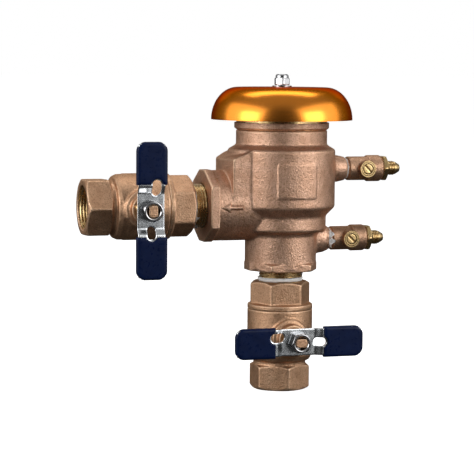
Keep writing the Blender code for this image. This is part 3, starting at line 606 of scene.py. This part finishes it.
def bonnet_field(x, y, z):
    radius = np.hypot(x, y)
    shape = inside(BONNET_HUB, radius, z)
    for k in range(4):
        spoke = overlap(bar(x, y, radians(45 + 90 * k), 9.0, 28.5, 1.6), slab(z, 199.5, 204.5), 0.8)
        shape = joined(shape, spoke, 1.2)
    for k in range(3):
        angle = radians(90 + 120 * k)
        shape = joined(shape, overlap(bar(x, y, angle, 24.7, 28.6, 3.0), slab(z, 172.7, 185.0), 0.6), 0.5)
        shape = joined(shape, overlap(bar(x, y, angle, 6.0, 28.6, 2.5), slab(z, 172.2, 177.7), 0.6), 0.5)
    shape = joined(shape, inside(CAGE_HUB, radius, z), 0.6)
    for hole, low, high in ((4.5, 160.0, 180.0), (4.4, 190.0, 213.5), (3.4, 216.0, 240.0)):
        shape = without(shape, overlap(radius - hole, slab(z, low, high)), 0.3)
    return shape


def canopy_outline():
    flat, thick, lip, steps = 34.2, 1.2, 0.45, 40
    rim_z, top_z = CANOPY_LOW[2], CANOPY_HIGH[2]
    reach, rise = CANOPY_R - flat, top_z - rim_z
    angles = [pi / 2 * i / steps for i in range(steps + 1)]
    outer = [(flat + reach * sin(a), rim_z + rise * cos(a)) for a in angles]
    inner = [(flat + (reach - thick) * sin(a), rim_z + (rise - thick) * cos(a)) for a in reversed(angles)]
    edge = [(CANOPY_R - 0.1, rim_z), (CANOPY_R - lip, rim_z)]
    hole = 3.5
    return [(hole, top_z - 0.2), (hole + 0.2, top_z)] + outer + edge + inner + [(hole, top_z - thick)]


def make_top():
    spider = skinned(bonnet_field, (-31, -31, 164), (31, 31, 233), 0.7)
    piece("bonnet_casting", merged(turned(BONNET_RING, 128, True), spider), body_bronze, "body",
          replaces=("bonnet",), sharp=50)
    piece("bonnet_machined_land", turned(BONNET_LAND, 128, True), brass, "body")
    o_ring = [(31.15 + 1.45 * cos(a), 198.55 + 1.35 * sin(a)) for a in np.arange(16) * tau / 16]
    piece("bonnet_o_ring", turned(o_ring, 96, True), rubber, "body", replaces=("bonnet_seal",))
    piece("spun_canopy", turned(canopy_outline()[::-1], 192, True), canopy_metal, "body",
          replaces=("canopy",), sharp=50)
    washer = filleted([(3.5, 233.3, 0.1), (3.5, 234.2, 0.1), (7.5, 234.2, 0.3), (7.5, 233.3, 0.2)])
    piece("nut_washer", turned(washer[::-1], 64, True), chrome, "body", replaces=("canopy_washer",))
    piece("crimped_nut", skinned(canopy_nut_field, (-8, -8, 233.5), (8, 8, 244), 0.28), chrome, "body",
          replaces=("canopy_nut",), sharp=60)
    piece("threaded_stud", merged(threaded(2.7, 0.4, 0.8, 216.5, 242.0, 0.5, 48),
                                  turned([(2.6, 241.6), (2.5, 242.4), (2.1, 242.6)], 48)),
          steel, "body", replaces=("canopy_stud",))


NUT_TOP = filleted(to_axis(
    (5.6, 234.5, 0.2), (6.5, 235.2, 0.3), (6.5, 239.3, 0.3), (5.4, 240.0, 0.3), (5.1, 240.4, 0.3),
    (5.0, 241.8, 0.9), (4.2, 242.9, 0.7),
))


def canopy_nut_field(x, y, z):
    radius = np.hypot(x, y)
    prism = joined(hexagon(x, y, 11.1, 20), radius - 5.2, 0.3)
    prism = np.where(z > 240, radius - 5.2, prism)
    shape = overlap(prism, inside(NUT_TOP, radius, z), 0.35)
    return without(shape, radius - 3.4, 0.3)


def make_air_inlet():
    parts = (
        ("inlet_poppet", "air_inlet_poppet", plastic, False,
         [(19.0, 178.0), (19.6, 178.0), (20.5, 178.9), (20.5, 181.7), (20.2, 182.0), (4.3, 182.0),
          (4.0, 182.3), (4.0, 204.5), (3.5, 205.0)]),
        ("inlet_seal_disc", "air_inlet_disc", rubber, True,
         [(4.3, 182.3), (19.7, 182.3), (20.0, 182.6), (20.0, 184.9), (19.7, 185.2), (4.3, 185.2)]),
        ("seal_retainer", "disc_retainer", steel, True,
         [(4.3, 185.5), (11.7, 185.5), (12.0, 185.8), (12.0, 186.7), (11.7, 187.0), (4.3, 187.0)]),
    )
    for name, node, finish, tube, outline in parts:
        piece(name, turned(outline, 96, tube), finish, "air_inlet", replaces=(node,))

    def nut(x, y, z):
        radius = np.hypot(x, y)
        shape = overlap(hexagon(x, y, 11.0), slab(z, 187.3, 190.3), 0.5)
        return without(shape, radius - 4.3, 0.3)

    piece("inlet_poppet_nut", skinned(nut, (-8, -8, 186), (8, 8, 192), 0.4), steel, "air_inlet",
          replaces=("poppet_nut",), sharp=60)
    spring = piece("inlet_spring", coiled(9.0, 0.55, 4, 187.3, 199.2), steel, "body",
                   replaces=("loading_spring",))
    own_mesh(spring)


# ---------------------------------------------------------------- check valve

def make_check():
    cone = filleted([(2.8, 133.0), (17.3, 133.0, 0.4), (17.5, 135.8, 0.6), (12.0, 137.5, 1.0),
                     (4.0, 137.5, 0.6), (4.0, 168.0, 0.6), (2.8, 168.0)])
    piece("check_cone", turned(cone, 96, True), plastic, "check", replaces=("check_poppet",))
    seal = filleted([(2.8, 129.3), (16.8, 129.3, 0.3), (16.8, 132.7, 0.3), (2.8, 132.7)])
    piece("check_seal", turned(seal, 96, True), rubber, "check", replaces=("check_disc",))

    def guide(x, y, z):
        radius = np.hypot(x, y)
        shape = joined(overlap(radius - 5.0, slab(z, 112.0, 128.0), 0.5),
                       overlap(radius - 11.8, slab(z, 126.5, 129.0), 0.5), 0.5)
        for k in range(4):
            wing = overlap(bar(x, y, pi / 2 * k, 4.0, 12.0, 1.0), slab(z, 112.0, 127.5), 0.6)
            shape = joined(shape, wing, 0.6)
        return without(shape, radius - 2.8, 0.2)

    def screw(x, y, z):
        radius = np.hypot(x, y)
        head = overlap(hexagon(x, y, 8.0), slab(z, 109.1, 111.7), 0.4)
        return joined(head, overlap(radius - 2.5, slab(z, 110.0, 149.0), 0.3))

    piece("winged_guide", skinned(guide, (-13, -13, 111), (13, 13, 130), 0.5), plastic, "check",
          replaces=("check_guide",), sharp=60)
    piece("check_cap_screw", skinned(screw, (-6, -6, 108), (6, 6, 150), 0.4), steel, "check",
          replaces=("check_screw",), sharp=60)
    spring = piece("check_return_spring", coiled(9.8, 0.8, 6, 137.8, 165.7), steel, "body",
                   replaces=("check_spring",))
    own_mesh(spring)


# ---------------------------------------------------------------- nipples and thread tape

def wrapped_tape(low, high, radius, thick, seed):
    """Thread tape wound on a thread: a ring with a ragged edge and wrinkles."""
    steps = 120
    random = np.random.default_rng(seed)
    angles = np.arange(steps) * tau / steps

    def ragged(size, waves):
        total = np.zeros(steps)
        for k in range(2, waves):
            total += random.normal() * np.cos(k * angles + random.uniform(0, tau)) / sqrt(k)
        return size * total / 2

    rows = []
    stations = ((0.0, 0.0), (0.15, 0.7), (0.4, 1.0), (0.6, 0.75), (0.85, 0.95), (1.0, 0.1))
    for part, swell in stations:
        height = low + (high - low) * part + ragged(0.22, 22)
        out = radius + thick * swell + np.abs(ragged(0.2, 26)) * swell
        rows.append(circle(angles, out, height))
    rows += [circle(angles, radius * 0.99, height) for height in (high, low)]
    return rings(rows, True)


def torn_tape(radius, angle, low, high, seed):
    """A loose end of thread tape, crumpled and standing off the thread."""
    random = np.random.default_rng(seed)
    first, second, third = random.uniform(0, tau, 3)
    steps, width, thick, sweep = 18, 7, 0.15, 0.7
    rows = []
    for i in range(steps + 1):
        part = i / steps
        turn = angle + sweep * (part - 0.5)
        face = []
        for k in range(width + 1):
            side = k / width
            off = radius + 2.4 * part * side + 0.5 * sin(9 * part + first) * side
            off += 0.3 * sin(12 * side + 6 * part + second)
            reach = 0.6 + 0.4 * sin(7 * part + third)
            face.append((off, low + (high - low) * side * reach))
        loop = face + [(off - thick, height + 0.05) for off, height in reversed(face)]
        rows.append([(off * cos(turn), off * sin(turn), height) for off, height in loop])
    return rings(rows, False)


def make_nipples():
    inlet_low, inlet_high = INLET_NIPPLE[0][2], INLET_NIPPLE[1][2]
    outlet_low, outlet_high = OUTLET_NIPPLE[0][0], OUTLET_NIPPLE[1][0]
    for name, place, low, high in (("inlet", Matrix(), inlet_low, inlet_high),
                                   ("outlet", AT_OUTLET, outlet_low, outlet_high)):
        piece(f"{name}_close_nipple", threaded(16.0, 0.7, PIPE_PITCH, low, high, 13.2, 96), brass, "body",
              place, replaces=(f"{name}_nipple",), sharp=50)
    tape_low, tape_high = span("inlet_thread_tape")[0][2], span("inlet_thread_tape")[1][2]
    wound = wrapped_tape(tape_low, tape_high, 16.6, 0.9, 3)
    loose = torn_tape(17.3, 0.15, tape_low + 1.0, tape_high + 5.0, 4)
    piece("inlet_tape", merged(wound, loose), ptfe, "body", replaces=("inlet_thread_tape",), sharp=80)
    tape_low, tape_high = span("outlet_thread_tape")[0][0], span("outlet_thread_tape")[1][0]
    wound = wrapped_tape(tape_low, tape_high, 16.4, 0.6, 5)
    loose = torn_tape(16.8, -0.75, tape_low + 0.3, tape_high + 2.6, 8)
    piece("outlet_tape", merged(wound, loose), ptfe, "body", AT_OUTLET,
          replaces=("outlet_thread_tape",), sharp=80)


# ---------------------------------------------------------------- ball valves

HEX_FLATS = 41.3
HEX_CORNER_R = HEX_FLATS / sqrt(3)
SHELL_R = 25.2
OUTER_HEX_ENDS = filleted(to_axis(
    (20.4, 0, 0.6), (HEX_CORNER_R, 1.9, 1.0), (HEX_CORNER_R, 17.6, 0.8), (21.2, 18.9, 0.6),
))
SHELL = filleted(to_axis(
    (20.3, 10), (20.3, 22.2, 0.8), (23.2, 22.9, 1.5), (24.7, 26.2, 1.5), (24.8, 30.2, 0.4), (25.2, 30.9, 0.4),
    (SHELL_R, 48), (SHELL_R, 62, 0.5),
))
TOWER = filleted(to_axis((14.4, 8), (14.3, 26.4, 0.8), (11.5, 27.6, 0.8), (11.1, 33.0, 0.7)))
VALVE_BORE = to_axis((17.6, -9), (16.6, 1.4), (16.6, 19), (10, 19), (10, 26), (20, 26), (20, 70))
STEM_BORE = to_axis((5, 0), (5, 26.5), (8.8, 26.5), (8.8, 40))
RETAINER_FLANGE = filleted(to_axis(
    (19.4, 57), (19.4, 62.3), (SHELL_R, 62.3, 0.5), (SHELL_R, 65.9, 0.9), (21.5, 66.5, 0.6),
))
INNER_HEX_ENDS = filleted(to_axis((HEX_CORNER_R, 65), (HEX_CORNER_R, 81.5, 1.0), (20.4, 83.5, 0.6)))
RETAINER_BORE = to_axis((10.5, 40), (10.5, 66.5), (17, 66.5), (17, 82.1), (18.2, 90))


def valve_body_field(x, y, z):
    radius = np.hypot(x, y)
    nut = overlap(hexagon(x, y, HEX_FLATS, 30), inside(OUTER_HEX_ENDS, radius, z), 0.7)
    shape = joined(nut, inside(SHELL, radius, z), 1.0)
    across = np.hypot(x, z - BALL_U)
    shape = joined(shape, inside(TOWER, across, -y), 2.5)
    stop = overlap(slab(x, 3.0, 6.8), slab(z, 27.8, 34.2), 1.0)
    stop = overlap(stop, slab(-y, 20.0, 26.6), 1.0)
    shape = joined(shape, stop, 1.0)
    shape = without(shape, inside(VALVE_BORE, radius, z), 0.5)
    return without(shape, inside(STEM_BORE, across, -y), 0.4)


def retainer_field(corner_angle):
    def field(x, y, z):
        radius = np.hypot(x, y)
        nut = overlap(hexagon(x, y, HEX_FLATS, corner_angle), inside(INNER_HEX_ENDS, radius, z), 0.7)
        shape = joined(nut, inside(RETAINER_FLANGE, radius, z), 0.8)
        return without(shape, inside(RETAINER_BORE, radius, z), 0.5)
    return field


def handle_rise(reach):
    """How far the handle's strip is bent outwards at this distance from its middle, from 0 to 1."""
    part = np.clip((reach - 12.4) / 6.3, 0, 1)
    return part * part * (3 - 2 * part)


def long_hole(u, v, near, far, radius, offset=0.0):
    """Distance to a slot with round ends, along u from near to far."""
    return np.hypot(u - np.clip(u, near + radius, far - radius), v - offset) - radius


# Near end, far end, half width and offset of the slot in each end of the handle, as seen from that end
SLOTS = {"a": (11.7, 21.2, 3.2, 0.0), "b": (11.2, 22.8, 3.3, -3.8)}


def handle_field(x, y, z):
    reach = np.abs(x)
    rise = handle_rise(reach)
    strip = overlap(np.abs(y) - 10.25, reach - 49.4, 2.0)
    strip = without(strip, long_hole(x, y, *SLOTS["a"]))
    strip = without(strip, long_hole(-x, -y, *SLOTS["b"]))
    strip = without(strip, np.maximum(np.hypot(x, y) - 4.8, np.abs(y) - 3.6))
    low = 42.5 + 2.9 * rise
    return overlap(strip, slab(z - low, 0, 2.3), 0.7)


def grip_field(side):
    near, far, radius, offset = SLOTS[side]

    def field(x, y, z):
        outline = rounded_box(x, y, 50.8, 11.75, 7.0)
        outline = overlap(outline, 19.0 - x, 0.8)
        shape = overlap(outline, slab(z, 43.7, 49.4), 2.6)
        pocket = overlap(overlap(slab(x, 10.0, 49.7), np.abs(y) - 10.5), slab(z, 45.1, 48.0))
        shape = without(shape, pocket, 0.3)
        return without(shape, long_hole(x, y, near, far + 0.9, radius + 0.8, offset), 1.2)
    return field


HANDLE_NUT = filleted(to_axis(
    (8.0, 45.1, 0.2), (8.25, 45.8, 0.2), (8.25, 51.6, 0.3), (6.9, 53.1, 0.2), (5.7, 53.1, 0.3), (4.8, 52.3),
))


def handle_nut_field(x, y, z):
    radius = np.hypot(x, y)
    shape = overlap(hexagon(x, y, 14.3, 10), inside(HANDLE_NUT, radius, z), 0.35)
    return without(shape, radius - 4.9, 0.3)


def stem_field(x, y, z):
    radius = np.hypot(x, y)
    shape = overlap(radius - 4.7, slab(z, 15.0, 42.2), 0.3)
    end = overlap(overlap(radius - 4.5, np.abs(y) - 3.3, 0.3), slab(z, 40.0, 52.8), 0.5)
    shape = joined(shape, end)
    shape = joined(shape, overlap(radius - 6.3, slab(z, 16.3, 18.3), 0.4))
    tang = overlap(overlap(np.abs(x) - 2.2, np.abs(y) - 5.0, 0.5), slab(z, 12.3, 17.0), 0.5)
    return joined(shape, tang)


def gland_nut_field(x, y, z):
    radius = np.hypot(x, y)
    shape = overlap(hexagon(x, y, 18.0, 15), slab(z, 33.3, 38.5), 0.6)
    shape = overlap(shape, radius + 0.6 * (z - 38.5) - 9.3, 0.5)
    shape = joined(shape, overlap(radius - 8.3, slab(z, 31.8, 34.0), 0.3))
    return without(shape, radius - 5.0, 0.3)


def ball_outline():
    ball, port, steps = 16.0, 10.0, 40
    start = np.arcsin(port / ball)
    angles = np.linspace(start, pi - start, steps)
    return [(ball * sin(a), -ball * cos(a)) for a in angles]


SEAT = [(10.5, 26.3), (18.0, 26.3), (18.0, 33.0), (14.2, 33.0), (12.0, 30.2), (10.5, 28.7)]

valve_body_shape = skinned(valve_body_field, (-27, -35, -2), (27, 27, 64), 0.75)
handle_shape = skinned(handle_field, (-51.5, -12, 41.5), (51.5, 12, 49), 0.45)
grip_shapes = {side: skinned(grip_field(side), (17.5, -13, 42.5), (52.5, 13, 50.6), 0.55) for side in SLOTS}
handle_nut_shape = skinned(handle_nut_field, (-9.5, -9.5, 44), (9.5, 9.5, 54.5), 0.32)
stem_shape = skinned(stem_field, (-7, -7, 11), (7, 7, 54.5), 0.4)
gland_nut_shape = skinned(gland_nut_field, (-11.5, -11.5, 31), (11.5, 11.5, 39.5), 0.5)


def make_valve(name, place, retainer_corner):
    moving = f"{name}_handle_assembly"
    turn = place @ Matrix.Translation((0, 0, BALL_U)) @ TOWARDS_FRONT
    piece(f"{name}_cast_shell", valve_body_shape, valve_bronze, "body", place, (f"{name}_valve_body",), 60)
    retainer = skinned(retainer_field(retainer_corner), (-27, -27, 55.5), (27, 27, 85), 0.75)
    piece(f"{name}_cast_retainer", retainer, valve_bronze, "body", place, (f"{name}_retainer",), 60)
    piece(f"{name}_socket_thread", threaded(16.5, -1.1, PIPE_PITCH, 1.0, 18.6, 17.2), brass, "body", place,
          sharp=50)
    for which, outline in (("outer", SEAT), ("inner", [(r, 2 * BALL_U - u) for r, u in SEAT[::-1]])):
        piece(f"{name}_{which}_seat_ring", turned(outline, 96, True), ptfe, "body", place,
              (f"{name}_{which}_seat",))
    packing = [(5.0, 26.8), (8.3, 26.8), (8.3, 31.5), (5.0, 31.5)]
    piece(f"{name}_stem_packing", turned(packing, 64, True), ptfe, "body", turn, (f"{name}_packing",))
    piece(f"{name}_stem_gland", gland_nut_shape, brass, "body", turn, (f"{name}_gland_nut",), 60)

    piece(f"{name}_chromed_ball", turned(ball_outline(), 96, True), chrome, moving, turn @ ALONG_X,
          (f"{name}_ball",))
    piece(f"{name}_flatted_stem", stem_shape, valve_bronze, moving, turn, (f"{name}_stem",), 60)
    piece(f"{name}_stamped_handle", handle_shape, steel, moving, turn, (f"{name}_handle",), 60)
    piece(f"{name}_lock_nut", handle_nut_shape, chrome, moving, turn, (f"{name}_handle_nut",), 60)
    half_turn = Matrix.Rotation(pi, 4, "Z")
    for side, facing in (("a", turn), ("b", turn @ half_turn)):
        piece(f"{name}_vinyl_grip_{side}", grip_shapes[side], vinyl, moving, facing,
              (f"{name}_grip_{side}",), 60)


# ---------------------------------------------------------------- test cocks

COCK_BODY = filleted(to_axis(
    (6.8, -9.0), (6.8, 0), (8.2, 0, 0.3), (9.25, 1.2, 0.6), (9.25, 16.4, 0.6), (10.25, 17.4, 0.6),
    (10.25, 27.0, 0.8), (9.4, 28.5, 0.5),
))
COCK_BORE_R = 1.9
COCK_BORE = to_axis((COCK_BORE_R, -12), (COCK_BORE_R, 19.5), (5.3, 19.5), (5.3, 32))
PLUG_R = 5.2
PLUG_END_R = 3.95
SLOT_HALF_WIDTH = 0.6
FLARE = filleted(to_axis(
    (5.0, 19.8), (5.0, 29.0), (4.7, 33.0, 0.3), (4.7, 34.2), (5.0, 34.6), (5.0, 40.6, 0.3), (4.7, 41.3, 0.2),
    (2.9, 44.4, 0.4),
))
FLARE_NUT = filleted(to_axis((9.2, 28.8, 0.2), (10.74, 29.7, 0.3), (10.74, 31.7, 0.3), (9.2, 32.6, 0.2)))


def cock_body_field(x, y, z):
    radius = np.hypot(x, y)
    across = np.hypot(x, z - COCK_PLUG_U)
    shape = inside(COCK_BODY, radius, z)
    boss = overlap(across + 0.04 * (-y) - 6.95, slab(-y, 0.0, 13.0), 0.7)
    shape = joined(shape, boss, 1.2)
    shape = without(shape, inside(COCK_BORE, radius, z), 0.3)
    return without(shape, overlap(across - 5.5, slab(-y, -6.5, 20.0)), 0.3)


def plug_field(x, y, z):
    """The cock's plug, with its waterway and screwdriver slot on the same slant."""
    radius = np.hypot(x, y)
    across = (x - y) / sqrt(2)
    shape = overlap(radius - PLUG_R, slab(z, -6.2, 7.4), 0.3)
    shape = joined(shape, overlap(radius - PLUG_END_R, slab(z, 0.0, 12.7), 0.6))
    shape = without(shape, np.hypot(across, z) - COCK_BORE_R, 0.2)
    return without(shape, overlap(np.abs(across) - SLOT_HALF_WIDTH, slab(z, 11.3, 20.0)), 0.2)


def flare_field(x, y, z):
    radius = np.hypot(x, y)
    nut = overlap(hexagon(x, y, 18.6, 30), inside(FLARE_NUT, radius, z), 0.4)
    shape = joined(inside(FLARE, radius, z), nut, 0.4)
    return without(shape, radius - 2.2, 0.3)


cock_body_shape = skinned(cock_body_field, (-12, -15, -11), (12, 12, 30.5), 0.55)
plug_shape = skinned(plug_field, (-6.5, -6.5, -7.5), (6.5, 6.5, 14), 0.35)
flare_shape = merged(skinned(flare_field, (-12, -12, 18.5), (12, 12, 46), 0.5),
                     threaded(4.8, 0.7, 1.27, 34.7, 40.7, 4.0, 64))


def make_cock(name, height, boss_end, seed):
    start = boss_end + 1.2
    place = Matrix.Translation((start, 0, height)) @ ALONG_X
    turn = place @ Matrix.Translation((0, 0, COCK_PLUG_U)) @ TOWARDS_FRONT
    piece(f"{name}_cast_cock", cock_body_shape, cock_bronze, "body", place, (f"{name}_cock_body",), 60)
    piece(f"{name}_flare_fitting", flare_shape, brass, "body", place, (f"{name}_cock_flare",), 60)
    piece(f"{name}_slotted_plug", plug_shape, brass, f"{name}_plug", turn, (f"{name}_cock_plug",), 60)
    packing = [(4.25, 7.7), (PLUG_R, 7.7), (PLUG_R, 9.7), (4.25, 9.7)]
    piece(f"{name}_plug_packing", turned(packing, 48, True), rubber, "body", turn, (f"{name}_cock_packing",))
    gland = filleted([(4.25, 10.0), (PLUG_R, 10.0), (PLUG_R, 13.0, 0.2), (4.25, 13.0, 0.2)])
    piece(f"{name}_plug_gland", turned(gland, 48, True), brass, "body", turn, (f"{name}_cock_gland",))
    piece(f"{name}_machined_face", turned([(5.6, 12.9), (6.5, 12.9), (6.3, 13.15), (5.6, 13.15)], 48, True),
          brass, "body", turn)
    along = Matrix.Translation((0, 0, height)) @ ALONG_X
    wound = wrapped_tape(boss_end - 0.1, start + 0.2, 7.1, 0.9, seed)
    if name == "lower":
        wound = merged(wound, torn_tape(9.5, -1.95, boss_end - 2.4, start + 1.0, 14),
                       torn_tape(9.9, -1.35, boss_end - 2.2, start + 1.4, 13))
    piece(f"{name}_joint_tape", wound, ptfe, "body", along, (f"{name}_cock_tape",), 80)


make_body()
make_top()
make_air_inlet()
make_check()
make_nipples()
make_valve("inlet", INLET_VALVE, -5)
make_valve("outlet", OUTLET_VALVE, 0)
make_cock("upper", UPPER_COCK_Z, UPPER_BOSS_END, 7)
make_cock("lower", LOWER_COCK_Z, LOWER_BOSS_END, 11)


# ---------------------------------------------------------------- studio

AIM = Vector((-0.0353, 0.0, 0.118))
AZIMUTH, ELEVATION, DISTANCE = radians(-17.5), radians(5.2), 1.48


def towards(azimuth, elevation):
    """A unit vector from the object, with azimuth 0 towards the front and 90 towards +X."""
    return Vector((sin(azimuth) * cos(elevation), -cos(azimuth) * cos(elevation), sin(elevation)))


def add_softbox(name, azimuth, elevation, distance, width, height, radiance):
    """A soft rectangular light, placed round the camera's own azimuth, of this radiance."""
    lamp = bpy.data.lights.new(name, "AREA")
    lamp.shape = "RECTANGLE"
    lamp.size = width
    lamp.size_y = height
    lamp.energy = radiance * pi * width * height
    item = bpy.data.objects.new(name, lamp)
    back = towards(AZIMUTH + radians(azimuth), radians(elevation))
    item.location = AIM + back * distance
    item.rotation_mode = "QUATERNION"
    item.rotation_quaternion = back.to_track_quat("Z", "Y")
    bpy.context.scene.collection.objects.link(item)


def make_floor():
    """A pale floor that glows a little, so that it stays white to the horizon as in a cut-out photograph."""
    mesh = bpy.data.meshes.new("floor")
    half = 30.0
    corners = [(-half, -half, 0), (half, -half, 0), (half, half, 0), (-half, half, 0)]
    mesh.from_pydata(corners, [], [(0, 1, 2, 3)])
    paper = Finish("studio_floor", 0.8)
    paper.colour(paper.ramp(paper.noise(900.0, 1.0), (0.3, (0.80, 0.80, 0.80)), (0.7, (0.82, 0.82, 0.82))))
    paper.shader.inputs["Emission Color"].default_value = (1.0, 1.0, 1.0, 1.0)
    paper.shader.inputs["Emission Strength"].default_value = 0.8
    mesh.materials.append(paper.material)
    floor = bpy.data.objects.new("floor", mesh)
    floor.visible_glossy = False
    floor.visible_diffuse = False
    bpy.context.scene.collection.objects.link(floor)


def make_world():
    """White for the camera. For reflections, pale above, dark below, and dark around the camera."""
    world = bpy.data.worlds.new("studio")
    world.use_nodes = True
    nodes, links = world.node_tree.nodes, world.node_tree.links

    def graded(value, stops):
        ramp = nodes.new("ShaderNodeValToRGB")
        elements = ramp.color_ramp.elements
        while len(elements) < len(stops):
            elements.new(0.5)
        for element, (position, level) in zip(elements, stops):
            element.position = position
            element.color = (level, level, level, 1.0)
        spread = nodes.new("ShaderNodeMapRange")
        spread.inputs["From Min"].default_value = -1.0
        links.new(value, spread.inputs["Value"])
        links.new(spread.outputs["Result"], ramp.inputs["Fac"])
        return ramp.outputs["Color"]

    def mixed(kind):
        mix = nodes.new("ShaderNodeMix")
        mix.data_type = "RGBA"
        mix.blend_type = kind
        return mix

    place = nodes.new("ShaderNodeTexCoord").outputs["Generated"]
    facing = nodes.new("ShaderNodeVectorMath")
    facing.operation = "DOT_PRODUCT"
    facing.inputs[1].default_value = towards(AZIMUTH, ELEVATION)
    upward = nodes.new("ShaderNodeSeparateXYZ")
    links.new(place, facing.inputs[0])
    links.new(place, upward.inputs[0])
    sky = graded(upward.outputs["Z"], ((0.0, 0.04), (0.42, 0.07), (0.52, 0.28), (0.75, 0.32), (1.0, 0.4)))
    front = graded(facing.outputs["Value"], ((0.0, 0.5), (0.5, 0.8), (0.85, 0.9), (0.95, 0.34), (1.0, 0.2)))
    studio = mixed("MULTIPLY")
    studio.inputs["Factor"].default_value = 1.0
    links.new(sky, studio.inputs["A"])
    links.new(front, studio.inputs["B"])
    seen = mixed("MIX")
    links.new(nodes.new("ShaderNodeLightPath").outputs["Is Camera Ray"], seen.inputs["Factor"])
    links.new(studio.outputs["Result"], seen.inputs["A"])
    seen.inputs["B"].default_value = (1.0, 1.0, 1.0, 1.0)
    links.new(seen.outputs["Result"], nodes["Background"].inputs["Color"])
    bpy.context.scene.world = world


def make_camera():
    camera = bpy.data.cameras.new("camera")
    camera.sensor_width = 36.0
    camera.lens = 146.3
    item = bpy.data.objects.new("camera", camera)
    back = towards(AZIMUTH, ELEVATION)
    item.location = AIM + back * DISTANCE
    item.rotation_mode = "QUATERNION"
    roll = Matrix.Rotation(radians(0.45), 4, "Z").to_quaternion()
    item.rotation_quaternion = back.to_track_quat("Z", "Y") @ roll
    bpy.context.scene.collection.objects.link(item)
    bpy.context.scene.camera = item


bpy.context.scene.view_settings.view_transform = "Standard"
make_floor()
make_world()
for side, angle, level in (("left", -54, 1.0), ("right", 54, 0.9)):
    add_softbox(f"{side}_softbox", 1.25 * angle, 18, 1.6, 2.3, 1.4, 1.25 * level)
    add_softbox(f"{side}_softbox_core", angle, 14, 1.45, 0.85, 0.6, 3.4 * level)
add_softbox("top_softbox", 0, 103, 1.4, 1.5, 0.5, 2.8)
add_softbox("back_softbox", 180, 30, 1.8, 2.6, 0.6, 0.4)
make_camera()
